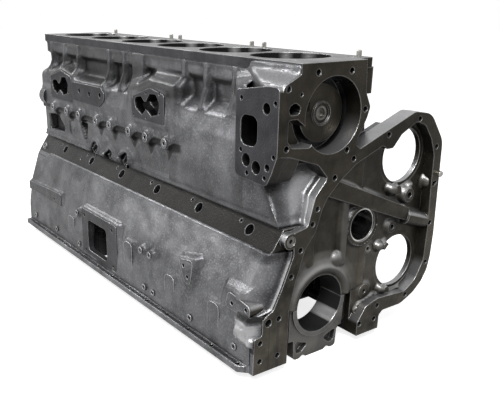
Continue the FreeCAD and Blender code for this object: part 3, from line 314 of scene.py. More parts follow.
def blockMaterial():
    # the block's one material: machined faces are told from the casting by the planes that they lie in
    material, tree, shader = newMaterial("blockIron")
    f = blockFaces
    x, y, z = placeOf(tree)
    normalY, upward = normalOf(tree)[1:]

    def onPlane(coordinate, level):
        return within(tree, coordinate, level, f["tolerance"] / 1000.0)

    pads = onPlane(x, rowLevel(0, f["rear"]))
    for level in f["pads"]:
        pads = compute(tree, "MAXIMUM", pads, onPlane(y, rowLevel(1, level)))
    slope = np.array(f["bandSlope"]) / np.hypot(*f["bandSlope"])
    along = compute(tree, "ADD", product(tree, y, slope[0]), product(tree, z, slope[1]))
    band = onPlane(along, slope @ [rowLevel(1, f["bandPoint"][0]), rowLevel(2, f["bandPoint"][1])])
    padCorner = product(tree, compute(tree, "LESS_THAN", y, rowLevel(1, f["padNear"])),
                        compute(tree, "GREATER_THAN", z, rowLevel(2, f["padLow"])))
    ahead = product(tree, compute(tree, "GREATER_THAN", x, rowLevel(0, f["caseRear"])), opposite(tree, padCorner))
    housing, neck = (within(tree, z, rowLevel(2, middle), half / 1000.0)
                     for middle, half in (f["housing"], f["neck"]))
    flank = product(tree, rangeOf(tree, normalY, -0.3, -0.5), opposite(tree, housing),
                    compute(tree, "LESS_THAN", y, rowLevel(1, f["flankNear"])))
    # painted light: on upward faces the dark front gives way to the paler casting, as if lit from above
    front = product(tree, ahead, rangeOf(tree, upward, 0.3, 0.7, 1.0, f["topShare"]), opposite(tree, flank))
    # painted shade: the insides of the openings are darkened
    oiled = 0.0
    for low, high in oiledBoxes:
        sides = [(rowLevel(axis, low[axis]), rowLevel(axis, high[axis])) for axis in range(3)]
        inside = product(tree, *(within(tree, place, (near + far) / 2, (far - near) / 2)
                                 for place, (near, far) in zip((x, y, z), sides)))
        oiled = compute(tree, "MAXIMUM", oiled, inside)
    layers = [
        (pads, padIron, None), (band, bandIron, None), (onPlane(z, rowLevel(2, f["deck"])), deckIron, None),
        # painted highlight: the neck's flank takes the flat pale look
        linerSeats(tree, x, y, z), (product(tree, flank, ahead, neck, f["neckShare"]), lightenedIron, None),
        crankBore(tree, x, y, z),
    ]
    castSurface(tree, shader, front, ahead, layers, product(tree, oiled, f["oiledShare"]))
    return material


steelLook = {
    "grain": {"Grain Scale": 500.0, "Dent Scale": 60.0, "Stain Scale": 40.0},
    "edge": {"Radius": 0.0008, "Strength": 4.0}, "bump": (0.1, 0.0004),
}


def steelMaterial(name, dark, pale, roughLow, roughHigh):
    # turned or pressed steel with faint stains
    material, tree, shader = newMaterial(name)
    cast = useGroup(tree, castGrain, steelLook["grain"])
    edge = useGroup(tree, edgeWearHighlight, steelLook["edge"])
    stain = cast.outputs["Stain"]
    tree.links.new(mixColour(tree, stain, dark, pale), shader.inputs["Base Color"])
    tree.links.new(rangeOf(tree, stain, 0.0, 1.0, roughHigh, roughLow), shader.inputs["Roughness"])
    addBump(tree, shader, cast, edge, steelLook["bump"])
    shader.inputs["Metallic"].default_value = 1.0
    return material


wallIron, tree, shader = newMaterial("wallIron")
castSurface(tree, shader)
floorIron, tree, shader = newMaterial("floorIron")
castSurface(tree, shader, front=1.0)
capIron, tree, shader = newMaterial("capIron")
# the caps are lightened 12 % towards the flat pale look
capLightened = 0.12
castSurface(tree, shader, front=1.0, layers=[(capLightened, lightenedIron, None), crankBore(tree, *placeOf(tree))])
boltSteel = steelMaterial("boltSteel", (0.06, 0.06, 0.065), (0.16, 0.16, 0.17), 0.3, 0.5)
pinSteel = steelMaterial("pinSteel", (0.30, 0.29, 0.27), (0.62, 0.61, 0.58), 0.2, 0.35)
bushingSteel = steelMaterial("bushingSteel", (0.35, 0.35, 0.34), (0.75, 0.75, 0.73), 0.15, 0.3)
plugSteel = steelMaterial("plugSteel", (0.10, 0.10, 0.095), (0.30, 0.29, 0.27), 0.25, 0.45)

# by node name without its number; plugs and the pump's cup have the steel of plugs
finishes = {
    "cylinder_block": blockMaterial(), "main_cap": capIron,
    "main_cap_bolts": boltSteel, "main_cap_washers": boltSteel,
    "deck_dowels": pinSteel, "front_dowel": pinSteel, "rear_dowels": pinSteel, "cam_bushing": bushingSteel,
}
for name, node in nodes.items():
    for slot in node.material_slots:
        slot.material = finishes.get(name.rstrip("0123456789").rstrip("_"), plugSteel)
print("stage: materials set on", len(nodes), "nodes")


def outlineGap(u, v, corners):
    # distance of every grid point to a closed outline, negative inside: nearest edge, signed by crossings
    gap = np.full(u.shape, 1e9)
    inside = np.zeros(u.shape, bool)
    points = np.array(corners, float)
    for (ax, ay), (bx, by) in zip(points, np.roll(points, -1, axis=0)):
        ex, ey = bx - ax, by - ay
        along = np.clip(((u - ax) * ex + (v - ay) * ey) / (ex * ex + ey * ey), 0.0, 1.0)
        gap = np.minimum(gap, np.hypot(u - ax - along * ex, v - ay - along * ey))
        crosses = (ay > v) != (by > v)
        inside ^= crosses & (u < ax + ex * (v - ay) / (ey if ey else 1e-9))
    return np.where(inside, -gap, gap)


def easing(t):
    # 0 to 1 with level ends: 3t^2 - 2t^3
    t = np.clip(t, 0.0, 1.0)
    return t * t * (3.0 - 2.0 * t)


def stepUp(value, start, width):
    # 0 up to start, 1 from start + width on
    return easing((value - start) / width)


def stepDown(value, end, width):
    # 1 up to end - width, 0 from end on
    return easing((end - value) / width)


def bell(value, middle, width):
    # exp(-t^2) with t the distance from the middle in widths
    return np.exp(-((value - middle) / width) ** 2)


def tableAt(value, table, shifts=(0,)):
    # table of (place, level) read between its points, evened out by averaging it over shifted places
    places, levels = np.array(table, float).T
    return sum(np.interp(value + shift, places, levels) for shift in shifts) / len(shifts)


def raiseTo(depth, gap, level, width):
    # lifts the wall to a level inside an outline and lets it run out over a width round it
    return depth + np.maximum(level - depth, 0.0) * easing(1.0 - gap / width)


def sinkTo(depth, gap, level, width):
    # lowers the wall to a level inside an outline, the slope lying inside it
    return depth - np.maximum(depth - level, 0.0) * easing(-gap / width)


def clearOf(u, v, outlines, margin):
    # grid points further than a margin outside every outline; a negative margin lets them reach inside it
    keep = np.ones(u.shape, bool)
    for corners in outlines:
        keep &= outlineGap(u, v, corners) > margin
    return keep


def unevenness(u, v, size, seed):
    # random heights on a lattice of that size, eased between its points: about -1 to 1
    table = np.random.RandomState(seed).uniform(-1.0, 1.0, (64, 64))
    a, b = u / size, v / size
    i, j = np.floor(a).astype(int), np.floor(b).astype(int)
    s, t = easing(a - i), easing(b - j)
    low = table[i % 64, j % 64] * (1 - s) + table[(i + 1) % 64, j % 64] * s
    high = table[i % 64, (j + 1) % 64] * (1 - s) + table[(i + 1) % 64, (j + 1) % 64] * s
    return low * (1 - t) + high * t


def mixedUnevenness(u, v, parts):
    # sum of uneven heights, each part a (height, size, seed)
    return sum(height * unevenness(u, v, size, seed) for height, size, seed in parts)


def cellsOf(mask):
    # a mask of grid points as a mask of the cells between them: all four corners
    return mask[:-1, :-1] & mask[:-1, 1:] & mask[1:, 1:] & mask[1:, :-1]


def fractions(count):
    # 1/count, 2/count ... 1, as a row of columns for whole columns of points
    return np.linspace(0.0, 1.0, count + 1)[1:][None, :, None]


def straight(a, b, count):
    # points from a to b without a, for whole columns of ends: shape (rows, count, 2)
    return a[:, None] + (b - a)[:, None] * fractions(count)


def bezier(a, b, c, count):
    # points of the curve a, b, c without a, for whole columns of corners: shape (rows, count, 2)
    t = fractions(count)
    return (1 - t) ** 2 * a[:, None] + 2 * t * (1 - t) * b[:, None] + t ** 2 * c[:, None]


def wallPlan(w, depthOf):
    # plan points and tones of a wall, whose columns run along the block and are coarse at the rear and fine at the
    # front; it is tucked into the block at its foot, top and rear
    length, both = w["front"] - w["rear"], w["coarse"] + w["fine"]
    t = np.linspace(0.0, 1.0, int(2.0 * length / both) + 1)
    along = w["rear"] + length * (t + (w["coarse"] - w["fine"]) / both * t * (1.0 - t))
    u, v = np.meshgrid(along, w["rows"])
    depth, tone = depthOf(u, v)
    tuck = stepUp(v, *w["foot"]) * stepDown(v, *w["top"]) * stepUp(u, w["rear"], 5.0)
    return np.stack([u, w["tuck"] * (1.0 - tuck) - depth], -1), tone


def wallGrids(w, plan, turn, push):
    # front and back points of a wall with the turn that follows it, whose back is pushed column by column
    plan = np.concatenate([plan, turn], 1)
    heights = np.repeat(w["rows"][:, None, None], plan.shape[1], 1)
    front = np.concatenate([plan, heights], -1)
    shift = np.zeros((plan.shape[1], 3))
    shift[:, 1] = w["thickness"]
    shift[-len(push):, :2] += push
    return front, front + shift


def slab(name, front, back, tone, keep, finish):
    # closed slab between two grids of points: the kept front cells, the same turned round at the back, and a rim on
    # edges of one kept cell only; tone above 0 darkens the colour, mostly as painted shade, and below 0 lightens it
    # as painted highlight
    rows, columns = front.shape[:2]
    count = rows * columns
    index = np.arange(count).reshape(rows, columns)
    quads = np.stack([index[:-1, :-1], index[:-1, 1:], index[1:, 1:], index[1:, :-1]], -1)[keep]
    start = quads.ravel()
    end = np.roll(quads, -1, axis=1).ravel()
    single = ~np.isin(start * count + end, end * count + start)
    rim = np.stack([end[single], start[single], start[single] + count, end[single] + count], -1)
    faces = np.concatenate([quads, quads[:, ::-1] + count, rim])
    used, faces = np.unique(faces, return_inverse=True)
    faces = faces.reshape(-1, 4)
    points = (np.concatenate([front.reshape(-1, 3), back.reshape(-1, 3)])[used] + toRow) / 1000.0
    mesh = bpy.data.meshes.new(name)
    mesh.from_pydata(points.tolist(), [], faces.tolist())
    mesh.polygons.foreach_set("use_smooth", np.ones(len(faces), bool))
    shade = mesh.attributes.new("tone", "FLOAT", "POINT")
    shade.data.foreach_set("value", np.tile(tone.ravel(), 2)[used].astype(np.float32))
    mesh.materials.append(finish)
    mesh.update()
    piece = bpy.data.objects.new(name, mesh)
    bpy.context.collection.objects.link(piece)
    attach(piece, "root")
    print("stage:", name, len(faces), "faces")


# The CAD walls are flat sheets of metal. The slabs below lie one to three millimetres off them and carry the soft
# forms of the casting, and the block's machined pads, flanges and bosses stand out of them. In every piece u runs
# along the block, v is the height, and depth is the distance outwards from the crank axis, so y = -depth.
wallPads = [
    [(-914, 352), (-792, 352), (-786, 414), (-846, 426), (-914, 408)],
    [(-782, 361), (-640, 361), (-612, 378), (-610, 396), (-628, 407), (-782, 405)],
    [(-479, 362), (-356, 362), (-352, 422), (-405, 430), (-479, 406)],
]
upperWall = {
    "proud": 1.9, "thickness": 9.0, "rows": np.linspace(243.2, 490.6, 100), "coarse": 3.6, "fine": 2.3,
    "rear": -984.4, "front": -112.0, "padInset": 5.0, "tuck": 3.0, "foot": (242.6, 2.0), "top": (490.8, 3.0),
    "profile": [(243, 98), (262, 106), (372, 106), (403, 98), (424, 72), (456, 72), (464, 83), (486, 83), (491, 88)],
    "flangeFoot": 474.0,
    "lip": {"height": 246.5, "rise": 3.2, "width": 4.2, "rear": -600.0, "ragged": 2.5, "teeth": 2.2, "tooth": 9.0},
    "seats": [(-686, 15), (-609, 10), (-532, 16)], "seatHeight": 251.0, "seatStretch": 1.21,
    "collar": {"shift": 3.0, "height": 252.0, "stretch": 1.2, "radius": 6.0, "width": 4.5, "rise": 5.0,
               "tone": -0.12},
    "ribs": [(-946, 8), (-872, 8), (-792, 9), (-627, 9), (-558, 7), (-494, 42), (-322, 9), (-250, 9), (-163, 10)],
    "ribLevel": [(409, 100), (444, 87)], "ribFoot": 408.0, "ribRunOut": 6.5,
    "roots": [
        ([(-990, 352), (-786, 352), (-780, 408), (-846, 424), (-990, 404)], 103.0, 24.0),
        ([(-500, 350), (-336, 350), (-330, 436), (-420, 440), (-500, 412)], 106.0, 26.0),
        (wallPads[0], 106.0, 8.0), (wallPads[1], 107.6, 14.0), (wallPads[2], 109.8, 13.0),
        ([(-108, 320), (-100, 320), (-100, 470), (-108, 464)], 112.0, 14.0),
        ([(-146, 396), (-96, 396), (-96, 478), (-146, 470)], 96.0, 18.0),
    ],
    "rootMargin": 1.2,
    "bosses": [-896, -812, -743, -650, -582, -494, -423, -349],
    "boss": {"height": 329.0, "radius": 11.0, "level": 114.0, "runOut": 6.5, "hole": 5.5},
    "web": {"rise": 6.0, "half": (16.0, 5.0), "level": 108.0, "runOut": 9.0},
    "shine": {"at": (12.0, 9.0), "size": (7.0, 6.0), "tone": -0.75},
    "recess": {"front": -348.0, "low": 256.0, "high": 322.0, "level": 100.0, "slope": 4.0, "scallop": 11.0,
               "scallopWidth": 12.0, "shadow": 21.0, "shadowEnd": 54.0},
    "cavities": [
        ([(-960, 262), (-865, 266), (-858, 281), (-898, 312), (-958, 304)], 84.0),
        ([(-826, 269), (-804, 271), (-800, 307), (-830, 303)], 90.0),
        ([(-746, 266), (-728, 272), (-719, 315), (-771, 313)], 84.0),
    ],
    "mouth": [(-470, 404), (-440, 410), (-424, 398), (-408, 418), (-382, 420), (-368, 402), (-376, 380),
              (-402, 374), (-420, 386), (-438, 372), (-464, 384)],
    "mouthShifts": [(0, 0), (-438, -8)], "mouthMargin": 1.6,
    "lumps": [(-625, 254, 20, 9), (-549, 268, 18, 8), (-564, 254, 14, 7), (-630, 284, 16, 6), (-512, 262, 22, 6)],
    "lumpSquash": 1.2,
    "flutes": {"height": 272.0, "width": 22.0, "rise": 0.8, "pitch": 9.0},
    "dents": [(0.7, 46.0, 1), (0.35, 17.0, 2)], "blotches": [(1.0, 58.0, 6), (0.6, 26.0, 7)],
    # The neck is the last part of the grid, where the wall turns in beside the scoop and up against the gear case.
    # Its line runs from a wall point to a case point, and both move as it climbs; tones has one entry a column.
    "neck": {
        "columns": {"wall": 24, "bend": 6, "slope": 14, "case": 7}, "top": 356.0, "overlap": 8.0,
        "low": 262.0, "climb": 83.0, "wallX": (-26.0, -66.0), "wallY": -113.0, "caseX": -23.0, "caseY": (-50.0, 58.0),
        "caseEdge": [(243, -57), (293, -43), (321, -17)], "edgeInset": 1.0, "offset": 2.7, "bend": 9.0,
        "forward": (9.0, -0.6), "tucked": (11.0, 2.5), "flare": 5.0, "foot": 243.0, "footTuck": 3.0,
        "dent": 0.6, "dentSize": 19.0, "dentSeed": 3, "dentSquash": 1.5, "back": (-7.0, -4.0),
        # tones: darker along the wall's last stretch, painted shade in the crease of the bend, then painted highlight
        # on the slope's end and up the case
        "tones": np.concatenate([
            np.linspace(0.15, 0.2, 18), np.linspace(0.22, 0.45, 6), np.full(6, 0.55),
            [0.6, 0.6, 0.55, 0.45, 0.3, 0.15, 0.0, -0.1, -0.16, -0.2, -0.2, -0.2, -0.18, -0.15],
            [-0.1, -0.05, -0.05, -0.1, -0.25, -0.4, -0.4, -0.4],
        ]),
    },
}


def wallDepth(u, v):
    # depth and tone of the upper wall: the section's profile, then recess, ribs, roots, bosses, cavities and dents
    w = upperWall
    depth = tableAt(v, w["profile"], (-4, -2, 0, 2, 4))
    depth = np.where(v > w["flangeFoot"], np.maximum(depth, tableAt(v, w["profile"])), depth)
    # painted shade where the wall lies deep, in the pockets between the ribs
    tone = 0.35 * stepDown(depth, 86.0, 12.0)
    recess, boss, web, shine = w["recess"], w["boss"], w["web"], w["shine"]
    scallop = recess["scallop"] * sum(bell(u, x, recess["scallopWidth"]) for x in w["bosses"])
    panel = np.maximum(np.maximum(u - recess["front"], recess["low"] - v), v - (recess["high"] - scallop))
    depth = sinkTo(depth, panel, recess["level"], recess["slope"])
    under = v - (recess["high"] + recess["scallop"] - 2.0 * scallop)
    shadow = stepUp(under, -recess["shadow"], 8.0) * stepDown(under, 0.0, 2.0)
    tone = np.maximum(tone, shadow * stepDown(u, recess["front"] + recess["shadowEnd"], 18.0))
    ribLevel = tableAt(v, w["ribLevel"])
    for x, width in w["ribs"]:
        gap = np.maximum(np.abs(u - x) - width / 2 - 1.0, w["ribFoot"] - v)
        depth = raiseTo(depth, gap, ribLevel, w["ribRunOut"])
    for corners, level, width in w["roots"]:
        depth = raiseTo(depth, outlineGap(u, v, corners) - w["rootMargin"], level, width)
    height = v - boss["height"]
    for x in w["bosses"]:
        depth = raiseTo(depth, np.hypot(u - x, height) - boss["radius"], boss["level"], boss["runOut"])
        gap = np.maximum(np.abs(height - web["rise"]) - web["half"][1], np.abs(u - x) - web["half"][0])
        depth = raiseTo(depth, gap, web["level"], web["runOut"])
        spot = bell(u - x, shine["at"][0], shine["size"][0]) * bell(height, shine["at"][1], shine["size"][1])
        tone = tone + shine["tone"] * spot
    # cavities sink in and go dark as painted shade
    for corners, level in w["cavities"]:
        gap = outlineGap(u, v, corners)
        depth = sinkTo(depth, gap, level, 6.0)
        tone = np.maximum(tone, stepDown(gap, 0.0, 2.5))
    for x, z, radius, rise in w["lumps"]:
        depth = depth + rise * easing(1.0 - np.hypot(u - x, (v - z) * w["lumpSquash"]) / radius)
    flutes, lip, collar = w["flutes"], w["lip"], w["collar"]
    waves = flutes["rise"] * bell(v, flutes["height"], flutes["width"]) * np.sin(u / flutes["pitch"])
    depth = depth + waves * stepUp(u, -360.0, 30.0) * stepDown(u, -180.0, 60.0)
    ragged = (lip["ragged"] + lip["teeth"] * unevenness(u, v, lip["tooth"], 5)) * stepDown(u, lip["rear"], 60.0)
    depth = depth + bell(v, lip["height"], lip["width"]) * (lip["rise"] + ragged)
    # collars round the seats, raised and lightened as painted highlight
    for x, radius in w["seats"]:
        away = np.hypot(u - x - collar["shift"], (v - collar["height"]) / collar["stretch"])
        ring = bell(away, radius + collar["radius"], collar["width"]) * stepUp(v, 247.0, 6.0)
        depth = depth + collar["rise"] * ring
        tone = tone + collar["tone"] * ring
    tone = tone + 0.14 * stepDown(v, 320.0, 30.0) + 0.16 * stepUp(v, 404.0, 12.0) * stepDown(u, -130.0, 20.0)
    # the wall's front is spared the darkening below and carries faint patches of painted highlight
    litFront = stepUp(u, -330.0, 50.0) * stepDown(u, -122.0, 30.0) * stepUp(v, 296.0, 30.0)
    blotches = mixedUnevenness(u, v, w["blotches"])
    tone = tone + np.maximum(0.22 + 0.16 * blotches, 0.06) * (1.0 - litFront) - 0.03 * litFront * easing(blotches)
    return depth + mixedUnevenness(u, v, w["dents"]) + w["proud"], tone


def neckPlan(rows, last):
    # plan points and outward shares of the neck, row by row, going on from the wall's last points
    n = upperWall["neck"]
    climb = np.clip((rows - n["low"]) / n["climb"], 0.0, 1.0)
    wallPoint = np.stack([n["wallX"][0] + n["wallX"][1] * climb, np.full(len(rows), n["wallY"])], -1)
    casePoint = np.stack([np.full(len(rows), n["caseX"]), n["caseY"][0] + n["caseY"][1] * climb], -1)
    line = casePoint - wallPoint
    line = line / np.linalg.norm(line, axis=1)[:, None]
    outward = np.stack([line[:, 1], -line[:, 0]], -1)
    base = wallPoint + outward * n["offset"]

    def onLine(y):
        return base + line * ((y - base[:, 1]) / line[:, 1])[:, None]

    corner = onLine(last[:, 1])
    foot = onLine(tableAt(rows, n["caseEdge"]) - n["edgeInset"])
    first = corner - np.array([n["bend"], 0.0])
    bendIn, bendOut = corner + line * n["bend"], foot - line * n["bend"]
    count = n["columns"]
    neck = np.concatenate([
        straight(last, first, count["wall"]), bezier(first, corner, bendIn, count["bend"]),
        straight(bendIn, bendOut, count["slope"]),
        bezier(bendOut, foot, foot + np.array(n["forward"]), count["case"]),
        (foot + np.array(n["tucked"]))[:, None],
    ], 1)
    share = np.concatenate([fractions(count["wall"]).ravel(), np.ones(neck.shape[1] - count["wall"])])
    rows = rows[:, None]
    squashed, heights = np.broadcast_arrays(neck[..., 0] * n["dentSquash"], rows)
    dents = n["dent"] * unevenness(squashed, heights, n["dentSize"], n["dentSeed"])
    flare = n["flare"] * (1.0 - stepUp(rows, n["foot"], 12.0))
    push = flare + (dents - n["footTuck"] * (1.0 - stepUp(rows, n["foot"], 5.0))) * share
    return neck + outward[:, None] * (push * share)[..., None], share


def buildUpperWall():
    # wall columns run along the block, and the neck's columns follow them
    w, n = upperWall, upperWall["neck"]
    plan, tone = wallPlan(w, wallDepth)
    neck, share = neckPlan(w["rows"], plan[:, -1])
    # the crease's painted shade fades out towards the neck's foot
    crease = 0.15 + 0.85 * stepUp(w["rows"][:, None], 250.0, 22.0)
    tone = np.concatenate([tone, np.minimum(n["tones"], 0.0) + np.maximum(n["tones"], 0.0) * crease], 1)
    front, back = wallGrids(w, plan, neck, share[:, None] * n["back"])
    places, heights = front[..., 0], front[..., 2]
    mouths = [np.add(w["mouth"], shift) for shift in w["mouthShifts"]]
    keep = clearOf(places, heights, mouths, w["mouthMargin"]) & clearOf(places, heights, wallPads, -w["padInset"])
    keep &= (places < w["front"] + n["overlap"]) | (heights < n["top"])
    for x, radius in w["seats"]:
        keep &= np.hypot(places - x, (heights - w["seatHeight"]) / w["seatStretch"]) > radius + 0.5
    for x in w["bosses"]:
        keep &= np.hypot(places - x, heights - w["boss"]["height"]) > w["boss"]["hole"]
    return front, back, tone, cellsOf(keep)


padGusset = {
    "columns": np.linspace(-176.0, -1.5, 74), "rows": np.linspace(447.0, 505.0, 30), "thickness": 8.0,
    "proud": 1.4, "blend": 4.0, "rootLevel": 84.0,
    "along": [(-176, 82), (-148, 84), (-126, 87), (-104, 95), (-78, 108), (-52, 119), (-34, 124.5), (0, 125)],
    "across": [(440, 130), (462, 129), (471, 125), (478, 117), (491, 92), (497, 89.6), (505, 89.2)],
    "folds": [(-62, 486, 15, 3.0), (-24, 489, 12, 2.6), (-40, 470, 11, -2.0), (-112, 480, 14, 1.6)],
    "dents": [(0.5, 21.0, 31), (0.4, 8.0, 32)], "litShare": -0.12,
}


def buildPadGusset():
    # cast web from the pocket wall out to the pump housing: the lesser of its run along and across the block,
    # blended as -b ln(exp(-along / b) + exp(-across / b))
    g = padGusset
    u, v = np.meshgrid(g["columns"], g["rows"])
    along = tableAt(u, g["along"], (-8, 0, 8))
    across = tableAt(v, g["across"], (-3, 0, 3))
    along = g["rootLevel"] + (along - g["rootLevel"]) * easing((v - 446.0) / 22.0 + stepUp(u, -112.0, 12.0))
    depth = g["proud"] - g["blend"] * np.log(np.exp(-along / g["blend"]) + np.exp(-across / g["blend"]))
    for x, z, radius, rise in g["folds"]:
        depth = depth + rise * bell(u, x, radius) * bell(v, z, radius)
    depth = depth + mixedUnevenness(u, v, g["dents"])
    depth = depth - 3.0 * (1.0 - stepDown(v, 504.5, 3.0)) - 2.0 * (1.0 - stepDown(u, -1.5, 4.0))
    front = np.stack([u, -depth, v], -1)
    back = np.stack([u, g["thickness"] - depth, v], -1)
    # painted highlight over the front part of the web, below its top edge
    tone = g["litShare"] * stepUp(u, -120.0, 50.0) * stepDown(v, 500.0, 10.0)
    return front, back, tone, cellsOf(np.ones(u.shape, bool))


castLug = {
    "columns": np.linspace(-60.0, -1.4, 30), "rows": np.linspace(46.0, 104.0, 30), "thickness": 9.0,
    "plate": [(40, 166.5), (63, 165.0), (68, 150.0), (98, 146.5), (104, 141)], "skirt": 167.5, "limit": 171.5,
    "dents": [(2.4, 9.0, 41), (1.4, 4.5, 42)], "swell": 3.0, "lean": 3.0, "shadowTone": 0.85, "litTone": -0.35,
}


def buildCastLug():
    # torn lump beside the front wall, from the notch in the wall's outline back to the skirt
    g = castLug
    u, v = np.meshgrid(g["columns"], g["rows"])
    plate = tableAt(v, g["plate"])
    skirt = g["skirt"] - 3.0 * stepDown(u, -30.0, 26.0)
    calm = stepUp(v, 47.0, 10.0) * stepDown(v, 103.0, 8.0) * stepDown(u, -2.0, 6.0) * stepUp(u, -60.0, 16.0)
    top = stepUp(v, 88.0, 8.0)
    depth = plate + (skirt - plate) * stepDown(u, -1.0, 13.0)
    depth = depth + calm * (mixedUnevenness(u, v, g["dents"]) + g["swell"] * (1.0 - top))
    depth = depth - 5.0 * (1.0 - stepUp(u, -60.0, 10.0)) - 5.0 * (1.0 - stepUp(v, 46.0, 6.0))
    depth = np.minimum(depth, g["limit"])
    # painted shadow of the block over the top of the lug, painted highlight on its calm lower part
    tone = g["shadowTone"] * top * stepUp(u, -52.0, 14.0) + g["litTone"] * (1.0 - top) * calm
    front = np.stack([u, -depth, v], -1)
    back = np.stack([u - g["lean"], g["thickness"] - depth, v], -1)
    return front, back, tone, cellsOf(np.ones(u.shape, bool))


skirtPads = [
    [(-642, 20), (-470, 20), (-470, 132), (-642, 132)], [(-990, 98), (-776, 98), (-772, 130), (-990, 120)],
    [(-224, 140), (-176, 150), (-186, 98), (-204, 98)], [(-78, 100), (-12, 100), (-10, 122), (-70, 132)],
]
skirtWall = {
    "proud": 2.0, "thickness": 8.0, "rows": np.linspace(13.2, 206.5, 76), "coarse": 3.9, "fine": 2.4,
    "rear": -984.4, "front": -62.0, "padInset": 5.0, "tuck": 3.5, "foot": (13.0, 3.0), "top": (207.0, 2.5),
    "profile": [(12, 166), (63, 165), (128, 153), (193, 131), (208, 122)], "cornerDrop": 0.6,
    "raised": [
        *[([(x, 8), (x + 34, 8), (x + 34, top), (x, top)], 163.4, 4.0)
          for x, top in ((-725, 92), (-437, 112), (-273, 94), (-129, 94))],
        (skirtPads[0], 163.6, 7.0), (skirtPads[1], 159.2, 5.0), (skirtPads[2], 162.4, 9.0),
        ([(-84, 98), (-12, 98), (-12, 124), (-44, 134), (-78, 132)], 162.4, 18.0),
    ],
    "raisedMargin": 1.2,
    "bosses": [(-667, 112), (-363, 112), (-328, 112), (-663, 33), (-798, 33), (-938, 33), (-352, 34), (-317, 34),
               (-183, 34), (-48, 36)],
    "boss": {"radius": 8.5, "level": 165.0, "runOut": 5.0, "hole": 3.0},
    "window": [(-611, 35), (-517, 35), (-517, 109), (-611, 109)], "windowMargin": 2.0,
    "ledge": [(-985, 166), (-940, 186), (-905, 204)], "ledgeDrop": 2.2,
    "dents": [(0.8, 62.0, 11), (0.5, 23.0, 12)], "blotches": [(1.0, 58.0, 8), (0.6, 26.0, 9)],
    # The shoulder is the last part of the grid. Over the lug it turns in with a sag to the front wall's edge, and
    # below it goes straight on; each pair is (over, below), and tones has one entry a column.
    "shoulder": {
        "columns": {"wall": 14, "bend": 8, "slope": 14, "lip": 3}, "from": 97.0, "over": 14.0,
        "plateEdge": [(100, -144), (110, -124), (144, -107), (199, -84), (210, -85)],
        "drop": 2.2, "cornerX": (-42.0, -13.0), "cornerSlope": 0.5, "cornerFrom": 178.0, "cornerShift": 4.4,
        "endX": (-6.5, -11.0), "endInset": (-5.0, 3.0), "lipX": (-1.6, -10.5), "lipInset": (2.6, 0.5), "bend": 12.0,
        "sag": 1.6, "lipShare": 0.6, "back": (-7.0, -3.0), "shade": 0.6,
        # tones: a faint painted highlight round the turn, painted shade in the crease at the slope's end, painted
        # highlight on the lip
        "tones": np.concatenate([
            np.linspace(0.0, -0.08, 14), np.full(8, -0.12), np.linspace(-0.1, 0.0, 8),
            [0.1, 0.3, 0.5, 0.5, 0.3, 0.0, -0.25, -0.35, -0.4],
        ]),
    },
}


def skirtDepth(u, v):
    # depth and tone of the skirt: the section's profile, then raised pads, bosses, the rear ledge and the dents
    w = skirtWall
    depth = tableAt(v, w["profile"], (-9, -4, 0, 4, 9))
    depth = np.maximum(depth, tableAt(v, w["profile"]) - w["cornerDrop"])
    for corners, level, width in w["raised"]:
        depth = raiseTo(depth, outlineGap(u, v, corners) - w["raisedMargin"], level, width)
    boss = w["boss"]
    for x, z in w["bosses"]:
        depth = raiseTo(depth, np.hypot(u - x, v - z) - boss["radius"], boss["level"], boss["runOut"])
    seam = tableAt(u, w["ledge"])
    depth = depth - w["ledgeDrop"] * stepUp(v, seam, 8.0) * stepDown(u, -890.0, 20.0)
    tone = 0.2 * stepDown(v, 26.0, 10.0) + 0.2 * stepDown(u, -560.0, 200.0)
    tone = tone + np.maximum(0.06 + 0.13 * mixedUnevenness(u, v, w["blotches"]), 0.0)
    return depth + mixedUnevenness(u, v, w["dents"]) + w["proud"], tone


def shoulderPlan(rows, last, high):
    # plan points of the shoulder, row by row, going on from the skirt's last points; high is 1 over the lug
    s = skirtWall["shoulder"]
    low = 1.0 - high

    def pair(key):
        return s[key][0] * high + s[key][1] * low

    wallY = last[:, 1] - s["drop"] * high
    slanted = s["cornerX"][0] + (s["cornerFrom"] + wallY) * s["cornerSlope"] + s["cornerShift"]
    corner = np.stack([slanted * high + s["cornerX"][1] * low, wallY], -1)
    endY = (tableAt(rows, s["plateEdge"]) + s["endInset"][0]) * high + (wallY + s["endInset"][1]) * low
    end = np.stack([pair("endX"), endY], -1)
    lip = np.stack([pair("lipX"), endY + pair("lipInset")], -1)
    toward = end - corner
    size = np.linalg.norm(toward, axis=1)[:, None]
    toward = toward / size
    first = corner - np.array([s["bend"], 0.0])
    turned = corner + toward * np.minimum(s["bend"], 0.5 * size)
    count = s["columns"]
    outward = np.stack([toward[:, 1], -toward[:, 0]], -1)[:, None]
    sag = np.sin(np.pi * fractions(count["slope"])) * outward * s["sag"] * high[:, None, None]
    lipMiddle = end * (1.0 - s["lipShare"]) + lip * s["lipShare"]
    return np.concatenate([
        straight(last, first, count["wall"]), bezier(first, corner, turned, count["bend"]),
        straight(turned, end, count["slope"]) + sag, bezier(end, lipMiddle, lip, count["lip"]),
    ], 1)


def buildSkirtWall():
    # skirt columns run along the block, and the shoulder's columns turn round to the back of the front wall
    w, s = skirtWall, skirtWall["shoulder"]
    rows = w["rows"]
    plan, tone = wallPlan(w, skirtDepth)
    high = stepUp(rows, s["from"], s["over"])
    around = shoulderPlan(rows, plan[:, -1], high)
    shadow = s["shade"] * stepUp(rows, 186.0, 14.0)
    tone = np.concatenate([tone, (s["tones"] + shadow[:, None]) * high[:, None]], 1)
    front, back = wallGrids(w, plan, around, np.linspace(0.0, 1.0, around.shape[1])[:, None] * s["back"])
    places, heights = front[..., 0], front[..., 2]
    keep = clearOf(places, heights, [w["window"]], w["windowMargin"])
    keep &= clearOf(places, heights, skirtPads, -w["padInset"])
    for x, z in w["bosses"]:
        keep &= np.hypot(places - x, heights - z) > w["boss"]["hole"]
    return front, back, tone, cellsOf(keep)


